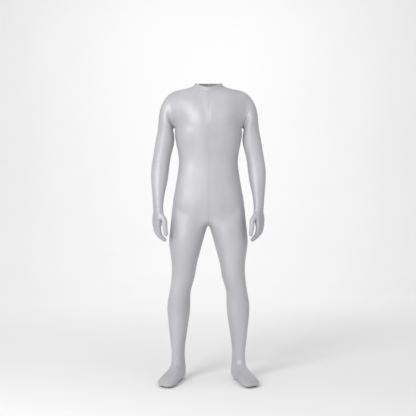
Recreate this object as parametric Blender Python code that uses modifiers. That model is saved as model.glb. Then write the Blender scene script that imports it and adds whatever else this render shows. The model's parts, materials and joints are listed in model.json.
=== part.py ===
"""Stretch dance jumpsuit with sewn gloves and feet, as worn.

The suit is cut in halves and sewn from panels. All panels are cut here from one closed skin, so that
neighbours meet edge to edge. The skin is a coarse cage of rings, one ring for each row of the tables
below, smoothed by one level of subdivision. The wearer faces -Y, and +X is the wearer's left.
"""

import math
from collections import namedtuple

import bmesh
import bpy
import numpy as np
from mathutils import Matrix, Vector

# Driving dimensions in metres. Heights in the tables are above the sole.
ORIGIN_HEIGHT = 1.430
WALL = 0.0012
COLLAR_WALL = 0.0018
SEAM_GAP = 0.0003
CLEAR = 0.0003

# Torso rings below the armhole. rise lifts the side above the centre line, and dip_front and dip_back
# draw the centre seams in.
TorsoRow = namedtuple("TorsoRow", "height rise half_width front back dip_front dip_back")
TORSO_ROWS = (
    TorsoRow(0.804, 0.050, 0.185, 0.097, 0.117, 0.022, 0.036),
    TorsoRow(0.885, 0.012, 0.1785, 0.097, 0.120, 0.002, 0.005),
    TorsoRow(0.965, 0.000, 0.166, 0.097, 0.108, 0.000, 0.003),
    TorsoRow(1.035, 0.000, 0.155, 0.096, 0.094, 0.000, 0.002),
    TorsoRow(1.100, 0.000, 0.148, 0.096, 0.088, 0.000, 0.002),
    TorsoRow(1.170, 0.000, 0.158, 0.104, 0.094, 0.000, 0.002),
    TorsoRow(1.235, 0.000, 0.1695, 0.114, 0.104, 0.000, 0.003),
)
TORSO_POWER = 0.88
# The centre seams are drawn in only near the middle, and the side rises away from it.
DIP_FROM = 0.8
RISE_POWER = 4
CROTCH_HEIGHT = 0.776
CROTCH_Y = 0.008

# The armhole is an oval that leans in towards the underarm.
ARMHOLE_HEIGHT = 1.3545
ARMHOLE_HALF_HEIGHT = 0.0870
ARMHOLE_FRONT = 0.060
ARMHOLE_BACK = 0.066
ARMHOLE_Y = 0.005
ARMHOLE_TOP_X = 0.191
ARMHOLE_UNDER_X = 0.1655
ARMHOLE_LEAN = 0.55

# Centre-front and centre-back points of the four rows that end at the armhole.
ChestRow = namedtuple("ChestRow", "front_y front_height back_y back_height")
CHEST_ROWS = (
    ChestRow(-0.1190, 1.288, 0.110, 1.293),
    ChestRow(-0.1150, 1.335, 0.114, 1.347),
    ChestRow(-0.1040, 1.376, 0.110, 1.393),
    ChestRow(-0.0910, 1.407, 0.101, 1.428),
)
BREAST_ANGLE = 34

# Rows above the armhole: half way along the shoulder, the neck seam and the collar's top edge.
NeckRow = namedtuple("NeckRow", "front_y front_height side_x side_y side_height back_y back_height")
NECK_ROWS = (
    NeckRow(-0.0800, 1.4260, 0.1280, 0.010, 1.4620, 0.0880, 1.4550),
    NeckRow(-0.0720, 1.4390, 0.0800, 0.012, 1.4790, 0.0740, 1.4770),
    NeckRow(-0.0620, 1.4650, 0.0675, 0.012, 1.4945, 0.0635, 1.5010),
)

# Leg rings: front and back are Y, and turn is how far the leg faces outwards, in degrees.
LegRow = namedtuple("LegRow", "height centre half_width front back turn")
LEG_ROWS = (
    LegRow(0.735, 0.1063, 0.0898, -0.089, 0.104, 0),
    LegRow(0.660, 0.1160, 0.0785, -0.086, 0.090, 1),
    LegRow(0.580, 0.1210, 0.0625, -0.079, 0.072, 3),
    LegRow(0.510, 0.1284, 0.0577, -0.072, 0.058, 6),
    LegRow(0.445, 0.1420, 0.0522, -0.064, 0.056, 9),
    LegRow(0.370, 0.1490, 0.0575, -0.048, 0.076, 12),
    LegRow(0.290, 0.1510, 0.0495, -0.038, 0.074, 14),
    LegRow(0.210, 0.1527, 0.0397, -0.031, 0.060, 16),
    LegRow(0.132, 0.1518, 0.0307, -0.027, 0.052, 18),
)
LEG_POWER = 0.95

# Foot rings: forward is measured from the ankle along the foot, and slant sets the inner side forward.
FootRow = namedtuple("FootRow", "top top_height sole sole_height half_width slant power")
FOOT_ROWS = (
    FootRow(0.047, 0.096, -0.054, 0.046, 0.0335, 0.00, 0.90),
    FootRow(0.063, 0.081, -0.040, 0.005, 0.0340, 0.00, 0.80),
    FootRow(0.087, 0.068, 0.020, 0.003, 0.0360, 0.00, 0.80),
    FootRow(0.122, 0.053, 0.095, 0.005, 0.0420, 0.05, 0.80),
    FootRow(0.160, 0.038, 0.152, 0.001, 0.0475, 0.15, 0.80),
    FootRow(0.188, 0.030, 0.184, 0.002, 0.0430, 0.30, 0.80),
)
FOOT_TURN = 18
ANKLE = (0.1520, 0.016)
TOE_REACH = 0.2110
TOE_HEIGHT = 0.0145
TOE_HALF_WIDTH = 0.026

# Sleeve rings: out_x and out_height point from the ring's centre to the outer side of the arm.
SleeveRow = namedtuple("SleeveRow", "x y height out_x out_height fore twist")
SLEEVE_ROWS = (
    SleeveRow(0.2100, 0.004, 1.312, 0.0325, 0.0510, 0.0600, 0),
    SleeveRow(0.2130, 0.004, 1.257, 0.0395, 0.0200, 0.0550, 0),
    SleeveRow(0.2190, 0.004, 1.199, 0.0462, 0.0090, 0.0500, 0),
    SleeveRow(0.2310, 0.004, 1.137, 0.0440, 0.0040, 0.0445, 0),
    SleeveRow(0.2414, 0.002, 1.072, 0.0448, 0.0020, 0.0430, 3),
    SleeveRow(0.2463, -0.008, 1.000, 0.0410, 0.0000, 0.0405, 9),
    SleeveRow(0.2500, -0.022, 0.930, 0.0303, 0.0000, 0.0350, 19),
    SleeveRow(0.2508, -0.033, 0.868, 0.0238, 0.0000, 0.0310, 27),
)

# Hand rings: flat runs from 0, an oval, to 1, the four finger roots side by side.
HandRow = namedtuple("HandRow", "x y height thick breadth flat")
HAND_ROWS = (
    HandRow(0.2485, -0.038, 0.842, 0.0225, 0.0350, 0.25),
    HandRow(0.2515, -0.041, 0.811, 0.0195, 0.0370, 0.55),
    HandRow(0.2560, -0.044, 0.776, 0.0112, 0.0345, 0.80),
)
HAND_TWIST = 27

# Fingers, from the first beside the thumb. splay and curl are in degrees.
Finger = namedtuple("Finger", "name length radius splay curl")
FINGERS = (
    Finger("index", 0.086, 0.0087, 3.0, 47),
    Finger("middle", 0.093, 0.0089, 1.0, 50),
    Finger("ring", 0.087, 0.0086, -1.0, 53),
    Finger("little", 0.070, 0.0077, -3.5, 54),
)
FingerRow = namedtuple("FingerRow", "along width bend")
FINGER_ROWS = (
    FingerRow(0.15, 1.14, 0.05),
    FingerRow(0.45, 1.00, 0.25),
    FingerRow(0.72, 0.93, 0.75),
    FingerRow(0.95, 0.72, 1.00),
)
ThumbRow = namedtuple("ThumbRow", "x y height radius lean")
THUMB_ROWS = (
    ThumbRow(0.2165, -0.0790, 0.803, 0.0135, 50),
    ThumbRow(0.2140, -0.0870, 0.775, 0.0122, 18),
    ThumbRow(0.2105, -0.0900, 0.749, 0.0112, 6),
    ThumbRow(0.2085, -0.0910, 0.729, 0.0080, 0),
)

# Centre-back zip. It runs from the collar's top edge down to the small of the back.
ZIP_BOTTOM = 1.020
ZIP_GAP = 0.0060
ZIP_WING = 0.0085
ZIP_TAPE = 0.0010
ZIP_DART = 0.80
ZIP_END = 0.13
COLLAR_DEPTH = 0.030
SLIDER_WIDTH = 0.0076
SLIDER_LENGTH = 0.0110
SLIDER_THICK = 0.0026
SLIDER_BELOW_TOP = 0.0105
SLIDER_EDGE = 0.00025
POST_SINK = 0.0005
BRIDGE_BAR = 0.0014
BRIDGE_WIDTH = 0.0026
BRIDGE_LENGTH = 0.0100
BRIDGE_POST = 0.0012
BRIDGE_RISE = 0.0036
PULL_LENGTH = 0.0280
PULL_WIDTH = 0.0066
PULL_THICK = 0.0012
PULL_BAR = 0.0010
PULL_EYE = 0.0070
PULL_EDGE = 0.0002
PULL_OFF_CLOTH = 0.0012
PULL_SLANT = 0.95

CLOTH_COLOUR = (0.60, 0.60, 0.63, 1)
ZIP_COLOUR = (0.50, 0.50, 0.53, 1)
METAL_COLOUR = (0.72, 0.72, 0.74, 1)

FRONT, BACK, SLEEVE, GLOVE, COLLAR = range(5)
TORSO_COLUMNS = (0, 30, 60, 90, 120, 150, 180)
# The leg's columns, starting at the inseam and running over the front to the back.
LEG_COLUMNS = (180, 135, 90, 45, 0, -45, -90, -135)
# The arm's columns from its top: b columns lie on the back of the hand, p columns on the palm.
ARM_COLUMNS = {
    "b2": 0,
    "b1": 36,
    "b0": 72,
    "p0": 108,
    "p1": 144,
    "p2": 180,
    "p3": 216,
    "p4": 252,
    "b4": 288,
    "b3": 324,
}
ARM_ORDER = tuple(ARM_COLUMNS)
THUMB_WEB = (("hand", 1, "b0"), ("hand", 1, "p0"))
FITTING_STEPS = 5
# Two lengths closer than this are the same, as are two directions whose cosine is over STRAIGHT.
SAME = 1e-6
STRAIGHT = 0.98
SHARP_ANGLE = 50


def sine(degrees):
    return math.sin(math.radians(degrees))


def cosine(degrees):
    return math.cos(math.radians(degrees))


def bent(value, power):
    """value to a power, with its sign kept: it squares or rounds an oval."""
    return math.copysign(abs(value) ** power, value)


def mixed(first, second, share):
    return first + (second - first) * share


class Cage:
    """Coarse skin of the wearer's left half: named points, and faces with their panel."""

    def __init__(self):
        self.points = {}
        self.faces = []

    def ring(self, part, row, columns, place):
        for column in columns:
            self.points[part, row, column] = Vector(place(column))

    def face(self, panel, *keys):
        self.faces.append((panel, keys))

    def band(self, panels, upper, lower):
        """Faces between two rows of keys, closed all round."""
        for i, (panel, key) in enumerate(zip(panels, upper)):
            j = (i + 1) % len(upper)
            self.face(panel, key, upper[j], lower[j], lower[i])


def torso_point(row, angle):
    across, along = bent(sine(angle), TORSO_POWER), bent(cosine(angle), TORSO_POWER)
    depth = row.front if along > 0 else row.back
    dip = row.dip_front if along > 0 else row.dip_back
    inward = dip * max(0.0, abs(cosine(angle)) - DIP_FROM) / (1 - DIP_FROM)
    height = row.height + row.rise * (1 - cosine(angle) ** RISE_POWER)
    y = -along * depth + math.copysign(inward, along)
    return row.half_width * across, y, height


def armhole_point(angle):
    depth = ARMHOLE_FRONT if sine(angle) > 0 else ARMHOLE_BACK
    share = (1 + cosine(angle)) / 2
    x = mixed(ARMHOLE_UNDER_X, ARMHOLE_TOP_X, share**ARMHOLE_LEAN)
    return x, ARMHOLE_Y - depth * sine(angle), ARMHOLE_HEIGHT + ARMHOLE_HALF_HEIGHT * cosine(angle)


def chest_point(centre_y, centre_height, edge, angle):
    """A quarter oval from a centre seam to a point of the armhole."""
    x = edge[0] * sine(angle)
    y = mixed(edge[1], centre_y, cosine(angle))
    return x, y, mixed(centre_height, edge[2], 1 - cosine(angle))


def neck_point(row, angle):
    centre_y, centre_height = (
        (row.front_y, row.front_height) if angle < 90 else (row.back_y, row.back_height)
    )
    y = mixed(row.side_y, centre_y, abs(cosine(angle)))
    return row.side_x * sine(angle), y, mixed(centre_height, row.side_height, sine(angle) ** 2)


def leg_point(row, angle):
    side, fore = bent(cosine(angle), LEG_POWER), bent(sine(angle), LEG_POWER)
    middle, half = (row.front + row.back) / 2, (row.back - row.front) / 2
    local = Vector((row.half_width * side, -half * fore, 0))
    return Vector((row.centre, middle, row.height)) + Matrix.Rotation(
        math.radians(row.turn), 3, "Z"
    ) @ local


def on_foot(forward, lateral, height):
    """A point of the foot's own frame, whose forward axis is turned out."""
    x = ANKLE[0] + forward * sine(FOOT_TURN) + lateral * cosine(FOOT_TURN)
    y = ANKLE[1] - forward * cosine(FOOT_TURN) + lateral * sine(FOOT_TURN)
    return x, y, height


def foot_point(row, angle):
    side, up = bent(cosine(angle), row.power), bent(sine(angle), row.power)
    share = (up + 1) / 2
    lateral = row.half_width * side
    forward = mixed(row.sole, row.top, share) - row.slant * lateral
    return on_foot(forward, lateral, mixed(row.sole_height, row.top_height, share))


def sleeve_point(row, angle):
    out = Vector((row.out_x, 0, row.out_height))
    fore = Vector((0, -row.fore, 0))
    turned = Matrix.Rotation(math.radians(-row.twist), 3, "Z")
    return Vector((row.x, row.y, row.height)) + turned @ (
        out * cosine(angle) + fore * sine(angle)
    )


HAND_OUT = Vector((cosine(HAND_TWIST), -sine(HAND_TWIST), 0))
HAND_FORE = Vector((-sine(HAND_TWIST), -cosine(HAND_TWIST), 0))
DOWN = Vector((0, 0, -1))


def hand_point(row, column):
    angle = ARM_COLUMNS[column]
    side = 1 if column[0] == "b" else -1
    across = mixed(sine(angle), (2 - int(column[1])) / 2, row.flat)
    through = mixed(cosine(angle), side, row.flat)
    centre = Vector((row.x, row.y, row.height))
    return centre + HAND_FORE * row.breadth * across + HAND_OUT * row.thick * through


def build_torso(cage):
    for number, row in enumerate(TORSO_ROWS):
        cage.ring("torso", number, TORSO_COLUMNS, lambda angle: torso_point(row, angle))
    first = len(TORSO_ROWS)
    hole = {"p2": (90, 0), "p1": (60, 0), "p0": (60, 1), "b0": (60, 2), "b1": (60, 3)}
    hole |= {"b2": (90, 3), "b3": (120, 3), "b4": (120, 2), "p4": (120, 1), "p3": (120, 0)}
    for column, (angle, step) in hole.items():
        cage.points["torso", first + step, angle] = Vector(armhole_point(ARM_COLUMNS[column]))
    for step, row in enumerate(CHEST_ROWS):
        front, back = (cage.points["torso", first + step, angle] for angle in (60, 120))
        for angle, share in ((0, 0), (30, BREAST_ANGLE)):
            place = chest_point(row.front_y, row.front_height, front, share)
            cage.points["torso", first + step, angle] = Vector(place)
        for angle, share in ((180, 0), (150, BREAST_ANGLE)):
            place = chest_point(row.back_y, row.back_height, back, share)
            cage.points["torso", first + step, angle] = Vector(place)
    top = first + len(CHEST_ROWS)
    for step, row in enumerate(NECK_ROWS):
        cage.ring("torso", top + step, TORSO_COLUMNS, lambda angle: neck_point(row, angle))
    collar_row = top + len(NECK_ROWS) - 2
    for number in range(collar_row + 1):
        for left, right in zip(TORSO_COLUMNS, TORSO_COLUMNS[1:]):
            if first <= number < top - 1 and 60 <= left < 120:
                continue
            panel = FRONT if left < 90 else BACK
            corners = ((number, left), (number, right), (number + 1, right), (number + 1, left))
            keys = [("torso", *corner) for corner in corners]
            cage.face(COLLAR if number == collar_row else panel, *keys)
    return {column: ("torso", first + step, angle) for column, (angle, step) in hole.items()}


def build_leg(cage):
    cage.points["crotch"] = Vector((0, CROTCH_Y, CROTCH_HEIGHT))
    upper = ["crotch"] + [("torso", 0, angle) for angle in TORSO_COLUMNS]
    # The torso's seven columns and the crotch point make the leg's eight.
    panels = (FRONT,) * 4 + (BACK,) * 4
    for number, row in enumerate(LEG_ROWS):
        cage.ring("leg", number, LEG_COLUMNS, lambda angle: leg_point(row, angle))
        lower = [("leg", number, angle) for angle in LEG_COLUMNS]
        cage.band(panels, upper, lower)
        upper = lower
    for number, row in enumerate(FOOT_ROWS):
        cage.ring("foot", number, LEG_COLUMNS, lambda angle: foot_point(row, angle))
        lower = [("foot", number, angle) for angle in LEG_COLUMNS]
        cage.band(panels, upper, lower)
        upper = lower
    build_toe(cage, upper)


def build_toe(cage, ring):
    """Closes the sock's end along an edge from the inner to the outer side."""
    slant = FOOT_ROWS[-1].slant
    edge = []
    for number, share in enumerate((-1, 0, 1)):
        lateral = TOE_HALF_WIDTH * share
        key = ("toe", number)
        cage.points[key] = Vector(on_foot(TOE_REACH - slant * lateral, lateral, TOE_HEIGHT))
        edge.append(key)
    inner, outer = ring[0], ring[4]
    for panel, chain in ((FRONT, ring[1:4]), (BACK, ring[:4:-1])):
        cage.face(panel, inner, chain[0], edge[0])
        cage.face(panel, chain[0], chain[1], edge[1], edge[0])
        cage.face(panel, chain[1], chain[2], edge[2], edge[1])
        cage.face(panel, chain[2], outer, edge[2])


def build_arm(cage, armhole):
    upper = [armhole[column] for column in ARM_ORDER]
    for number, row in enumerate(SLEEVE_ROWS):
        cage.ring("arm", number, ARM_ORDER, lambda column: sleeve_point(row, ARM_COLUMNS[column]))
        lower = [("arm", number, column) for column in ARM_ORDER]
        cage.band([SLEEVE] * len(upper), upper, lower)
        upper = lower
    thumb_side = ARM_ORDER.index("b0")
    for number, row in enumerate(HAND_ROWS):
        cage.ring("hand", number, ARM_ORDER, lambda column: hand_point(row, column))
        lower = [("hand", number, column) for column in ARM_ORDER]
        for i, key in enumerate(upper):
            if (number, i) != (1, thumb_side):
                j = (i + 1) % len(upper)
                cage.face(GLOVE, key, upper[j], lower[j], lower[i])
        upper = lower
    for number, finger in enumerate(FINGERS):
        build_finger(cage, number, finger)
    build_thumb(cage)


def tube(cage, name, root, rings):
    """Four-sided tube from a root face, through rings of four points, with an end face."""
    upper = root
    for number, ring in enumerate(rings):
        # A root key's column says which side of the glove the point is on, and its row keeps the
        # thumb's keys apart.
        lower = [(name, number, key[2], key[1]) for key in root]
        for key, place in zip(lower, ring):
            cage.points[key] = place
        cage.band([GLOVE] * len(upper), upper, lower)
        upper = lower
    cage.face(GLOVE, *upper)


def build_finger(cage, number, finger):
    columns = [f"{side}{i}" for side, i in zip("bbpp", (number, number + 1, number + 1, number))]
    root = [("hand", len(HAND_ROWS) - 1, column) for column in columns]
    centre = sum((cage.points[key] for key in root), Vector()) / 4
    rings, travelled, place = [], 0.0, centre.copy()
    for row in FINGER_ROWS:
        bend = finger.curl * row.bend
        fore = HAND_FORE * cosine(finger.splay) + DOWN * -sine(finger.splay)
        down = DOWN * cosine(finger.splay) + HAND_FORE * sine(finger.splay)
        ahead = down * cosine(bend) - HAND_OUT * sine(bend)
        out = HAND_OUT * cosine(bend) + down * sine(bend)
        place = place + ahead * (row.along * finger.length - travelled)
        travelled = row.along * finger.length
        half = finger.radius * row.width * math.sqrt(0.5)
        signs = ((1, 1), (1, -1), (-1, -1), (-1, 1))
        rings.append([place + out * half * a + fore * half * b for a, b in signs])
    tube(cage, finger.name, root, rings)


def build_thumb(cage):
    root = [("hand", 0, "b0"), ("hand", 1, "b0"), ("hand", 1, "p0"), ("hand", 0, "p0")]
    rings = []
    for row in THUMB_ROWS:
        place = Vector((row.x, row.y, row.height))
        half = row.radius * math.sqrt(0.5)
        # The upper corners lean from pointing up, where the thumb leaves the hand, to its outer side.
        rise = HAND_FORE * cosine(row.lean) - DOWN * sine(row.lean)
        signs = ((1, 1), (1, -1), (-1, -1), (-1, 1))
        rings.append([place + HAND_OUT * half * a + rise * half * b for a, b in signs])
    tube(cage, "thumb", root, rings)


def whole_cage():
    """Mesh of both halves, each point's side of the glove, and the points in the thumb's web."""
    cage = Cage()
    armhole = build_torso(cage)
    build_leg(cage)
    build_arm(cage, armhole)
    keys = list(cage.points)
    points = [cage.points[key].copy() for key in keys]
    backs = [str(key[2]).startswith("b") if len(key) > 2 else False for key in keys]
    left = {key: i for i, key in enumerate(keys)}
    right = {}
    for key in keys:
        place = cage.points[key]
        if abs(place.x) < SAME:
            right[key] = left[key]
            continue
        right[key] = len(points)
        points.append(Vector((-place.x, place.y, place.z)))
        backs.append(backs[left[key]])
    faces, panels = [], []
    for panel, corners in cage.faces:
        faces.append([left[key] for key in corners])
        faces.append([right[key] for key in reversed(corners)])
        panels += [panel, panel]
    mesh = bpy.data.meshes.new("skin_cage")
    mesh.from_pydata([p - Vector((0, 0, ORIGIN_HEIGHT)) for p in points], [], faces)
    for _ in range(COLLAR + 1):
        mesh.materials.append(None)
    mesh.polygons.foreach_set("material_index", panels)
    under = [armhole["p2"]] + [("arm", row, "p2") for row in range(len(SLEEVE_ROWS))]
    slits = {
        frozenset((side[a], side[b])) for side in (left, right) for a, b in zip(under, under[1:])
    }
    collar = max(key[1] for key in keys if key[0] == "torso")
    slits.add(frozenset(left["torso", row, 180] for row in (collar - 1, collar)))
    for edge in mesh.edges:
        edge.use_seam = frozenset(edge.vertices) in slits
    loose = [side[key] for side in (left, right) for key in THUMB_WEB]
    return mesh, backs, loose


def smooth_skin(mesh, loose):
    """Subdivides the cage once, after moving its points until the smoothed skin meets the tables.

    A few steps are enough, and they leave tight folds soft. The loose points stay where they are.
    """
    shape = bpy.data.objects.new("skin", mesh)
    bpy.context.scene.collection.objects.link(shape)
    smoothing = shape.modifiers.new("Smooth", "SUBSURF")
    smoothing.levels = smoothing.render_levels = 1
    count = len(mesh.vertices)
    wanted = np.empty(count * 3)
    mesh.vertices.foreach_get("co", wanted)
    cage = wanted.copy()
    for _ in range(FITTING_STEPS):
        mesh.vertices.foreach_set("co", cage)
        mesh.update()
        smoothed = evaluated_mesh(shape)
        reached = np.empty(len(smoothed.vertices) * 3)
        smoothed.vertices.foreach_get("co", reached)
        change = (wanted - reached[: count * 3]).reshape(-1, 3)
        change[loose] = 0
        cage += change.ravel()
        bpy.data.meshes.remove(smoothed)
    smoothed = evaluated_mesh(shape)
    bpy.data.objects.remove(shape)
    return smoothed


def even_seams(mesh, count):
    """Slides the new points of every seam along the skin, onto smooth curves through the old ones.

    The first count points are the cage's own and stay. Each new one lies between two of those.
    """
    skin = bmesh.new()
    skin.from_mesh(mesh)
    skin.verts.ensure_lookup_table()
    skin.normal_update()
    seams = {
        edge
        for edge in skin.edges
        if edge.is_boundary or edge.link_faces[0].material_index != edge.link_faces[1].material_index
    }

    def beyond(middle, corner):
        """The next corner along the seam, or where it would be."""
        onward = [e.other_vert(corner) for e in corner.link_edges if e in seams]
        onward = [v for v in onward if v is not middle]
        if len(onward) == 1:
            ends = [e.other_vert(onward[0]) for e in onward[0].link_edges if e in seams]
            return next(v.co for v in ends if v is not corner)
        return corner.co * 3 - middle.co * 2

    moves = {}
    for point in skin.verts[count:]:
        corners = [e.other_vert(point) for e in point.link_edges if e in seams]
        if len(corners) != 2:
            continue
        outer = [beyond(point, corner) for corner in corners]
        wanted = ((corners[0].co + corners[1].co) * 9 - outer[0] - outer[1]) / 16
        move = wanted - point.co
        moves[point] = move - point.normal * move.dot(point.normal)
    for point, move in moves.items():
        point.co += move
    skin.to_mesh(mesh)
    skin.free()


def evaluated_mesh(shape):
    bpy.context.view_layer.update()
    graph = bpy.context.evaluated_depsgraph_get()
    return bpy.data.meshes.new_from_object(shape.evaluated_get(graph))


def marked_skin(mesh, count, backs):
    """Skin with each face marked with its panel, and each point with the skin's own normal."""
    skin = bmesh.new()
    skin.from_mesh(mesh)
    bmesh.ops.recalc_face_normals(skin, faces=skin.faces)
    skin.verts.ensure_lookup_table()
    skin.normal_update()
    outward = skin.verts.layers.float_vector.new("outward")
    for point in skin.verts:
        point[outward] = point.normal
    names = {}
    mark = skin.faces.layers.int.new("panel")
    for face in skin.faces:
        side = "left" if face.calc_center_median().x > 0 else "right"
        coarse = next(v.index for v in face.verts if v.index < count)
        glove = "glove_back" if backs[coarse] else "glove_palm"
        name = {FRONT: "front", BACK: "back", SLEEVE: "sleeve", GLOVE: glove, COLLAR: "collar"}[
            face.material_index
        ]
        if name != "collar":
            name += "_" + side
        face[mark] = names.setdefault(name, len(names))
    return skin, names


def split_at_seams(skin):
    mark = skin.faces.layers.int["panel"]
    opening = skin.edges.layers.int.new("opening")
    for edge in skin.edges:
        edge[opening] = edge.is_boundary
    seams = [
        edge
        for edge in skin.edges
        if edge.seam or len({face[mark] for face in edge.link_faces}) > 1
    ]
    bmesh.ops.split_edges(skin, edges=seams)


def edge_inset(edge, opening):
    """How far a panel's edge lies from its seam line."""
    if edge[opening]:
        return 0.0
    on_zip = all(
        abs(v.co.x) < SAME and v.co.y > 0 and v.co.z + ORIGIN_HEIGHT > ZIP_BOTTOM for v in edge.verts
    )
    return ZIP_GAP / 2 if on_zip else SEAM_GAP / 2


def inward_of(edge):
    face = edge.link_faces[0]
    along = (edge.verts[1].co - edge.verts[0].co).normalized()
    across = face.normal.cross(along)
    middle = (edge.verts[0].co + edge.verts[1].co) / 2
    return across if across.dot(face.calc_center_median() - middle) > 0 else -across


def draw_in(skin):
    """Moves every panel's edge points in from the seam line, mitred at corners."""
    opening = skin.edges.layers.int["opening"]
    skin.normal_update()
    insets = {edge: edge_inset(edge, opening) for edge in skin.edges if edge.is_boundary}
    moves = {}
    for point in skin.verts:
        edges = [edge for edge in point.link_edges if edge in insets]
        if len(edges) != 2:
            continue
        first, second = (inward_of(edge) for edge in edges)
        a, b = (insets[edge] for edge in edges)
        shared = first.dot(second)
        if shared > STRAIGHT:
            # The zip's last point has the seam's inset, so the gap for the tape ends in a dart.
            moves[point] = (first + second).normalized() * min(a, b)
            continue
        scale = 1 - shared * shared
        moves[point] = first * (a - b * shared) / scale + second * (b - a * shared) / scale
    for point, move in moves.items():
        point.co += move


def panel_object(skin, number, name, wall, material):
    """A panel thickened inwards along the whole skin's normals, which neighbours share."""
    shell = skin.copy()
    mark = shell.faces.layers.int["panel"]
    others = [face for face in shell.faces if face[mark] != number]
    bmesh.ops.delete(shell, geom=others, context="FACES")
    outward = shell.verts.layers.float_vector["outward"]
    outer_faces, rims = list(shell.faces), [e for e in shell.edges if e.is_boundary]
    made = bmesh.ops.duplicate(shell, geom=outer_faces)
    twin = made["vert_map"]
    for point in [v for v in made["geom"] if isinstance(v, bmesh.types.BMVert)]:
        point.co -= Vector(point[outward]) * wall
    inner_faces = [f for f in made["geom"] if isinstance(f, bmesh.types.BMFace)]
    bmesh.ops.reverse_faces(shell, faces=inner_faces)
    for edge in rims:
        a, b = edge.verts
        shell.faces.new((a, b, twin[b], twin[a]))
    bmesh.ops.recalc_face_normals(shell, faces=shell.faces)
    mesh = bpy.data.meshes.new(name)
    shell.to_mesh(mesh)
    shell.free()
    mesh.materials.clear()
    mesh.materials.append(material)
    for polygon in mesh.polygons:
        polygon.material_index = 0
    mesh.shade_smooth()
    mesh.set_sharp_from_angle(angle=math.radians(SHARP_ANGLE))
    return placed(name, mesh)


def placed(name, mesh):
    shape = bpy.data.objects.new(name, mesh)
    parts.objects.link(shape)
    return shape


def material(name, colour, roughness, metallic=0.0):
    made = bpy.data.materials.new(name)
    made.use_nodes = True
    shader = made.node_tree.nodes["Principled BSDF"]
    shader.inputs["Base Color"].default_value = colour
    shader.inputs["Roughness"].default_value = roughness
    shader.inputs["Metallic"].default_value = metallic
    return made


def centre_back(skin):
    """Points and outward directions down the centre back, each with the skin's fall to its side."""
    line = []
    for point in skin.verts:
        if abs(point.co.x) > SAME or point.co.y < 0:
            continue
        beside = [e.other_vert(point) for e in point.link_edges]
        beside = max(beside, key=lambda v: abs(v.co.x))
        fall = (point.co.y - beside.co.y) / beside.co.x**2
        normal = Vector((0, point.normal.y, point.normal.z)).normalized()
        line.append((point.co.copy(), normal, fall))
    line = [row for row in line if row[0].z + ORIGIN_HEIGHT > ZIP_BOTTOM]
    return sorted(line, key=lambda row: -row[0].z)


def loft(name, sections, material_used):
    """Closed solid through sections that all have the same number of points."""
    made = bmesh.new()
    rings = [[made.verts.new(place) for place in section] for section in sections]
    size = len(rings[0])
    for upper, lower in zip(rings, rings[1:]):
        for i in range(size):
            j = (i + 1) % size
            made.faces.new((upper[i], upper[j], lower[j], lower[i]))
    made.faces.new(rings[0])
    made.faces.new(rings[-1])
    bmesh.ops.recalc_face_normals(made, faces=made.faces)
    mesh = bpy.data.meshes.new(name)
    made.to_mesh(mesh)
    made.free()
    mesh.materials.append(material_used)
    return placed(name, mesh)


def build_tape(line, material_used):
    """Zip tape: a strip that fills the gap between the backs, with wings behind their edges."""
    stem = ZIP_GAP / 2 - CLEAR
    behind = WALL + CLEAR * 2
    outline = (
        (-stem, 0.0),
        (stem, 0.0),
        (stem, behind),
        (ZIP_WING, behind),
        (ZIP_WING, behind + ZIP_TAPE),
        (-ZIP_WING, behind + ZIP_TAPE),
        (-ZIP_WING, behind),
        (-stem, behind),
    )
    # The tape narrows with the dart at the gap's lower end, and stops just inside it.
    (above, normal, fall), (below, _, _) = line[-2:]
    ends = [(*row, 1.0) for row in line[:-1]] + [(above.lerp(below, ZIP_DART), normal, fall, ZIP_END)]
    sections = []
    for place, normal, fall, narrow in ends:
        wall_extra = COLLAR_WALL - WALL if place.z > line[0][0].z - COLLAR_DEPTH else 0.0
        section = []
        for x, depth in outline:
            x *= narrow if abs(x) <= stem else 1.0
            deep = depth + (wall_extra if depth > 0 else 0.0)
            section.append(place - normal * deep + Vector((x, -fall * x * x, 0)))
        sections.append(section)
    return loft("zip_tape", sections, material_used)


def box(made, low, high):
    centre, size = [(a + b) / 2 for a, b in zip(low, high)], [b - a for a, b in zip(low, high)]
    placing = Matrix.Translation(centre) @ Matrix.Diagonal((*size, 1))
    bmesh.ops.create_cube(made, size=1, matrix=placing)


def joined_boxes(name, boxes, cuts, material_used, bevel):
    """Boxes joined and cut by Booleans, in the zip's frame, with small bevels."""
    pieces = []
    for kind, sizes in (("UNION", boxes), ("DIFFERENCE", cuts)):
        for low, high in sizes:
            made = bmesh.new()
            box(made, low, high)
            mesh = bpy.data.meshes.new(name + "_box")
            made.to_mesh(mesh)
            made.free()
            pieces.append((kind, bpy.data.objects.new(name + "_box", mesh)))
            helpers.objects.link(pieces[-1][1])
    shape = pieces[0][1]
    for kind, other in pieces[1:]:
        joint = shape.modifiers.new(kind.title(), "BOOLEAN")
        joint.operation = kind
        joint.object = other
    mesh = evaluated_mesh(shape)
    for _, piece in pieces:
        bpy.data.objects.remove(piece)
    final = placed(name, mesh)
    edge = final.modifiers.new("Edge", "BEVEL")
    edge.width = bevel
    edge.segments = 1
    edge.limit_method = "ANGLE"
    mesh.materials.clear()
    mesh.materials.append(material_used)
    return final


def back_profile(line, height):
    """Y of the centre back at a height, and the direction down it."""
    for (upper, _, _), (lower, _, _) in zip(line, line[1:]):
        if lower.z <= height <= upper.z:
            share = (upper.z - height) / (upper.z - lower.z)
            return mixed(upper.y, lower.y, share), (lower - upper).normalized()
    raise ValueError(height)


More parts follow.
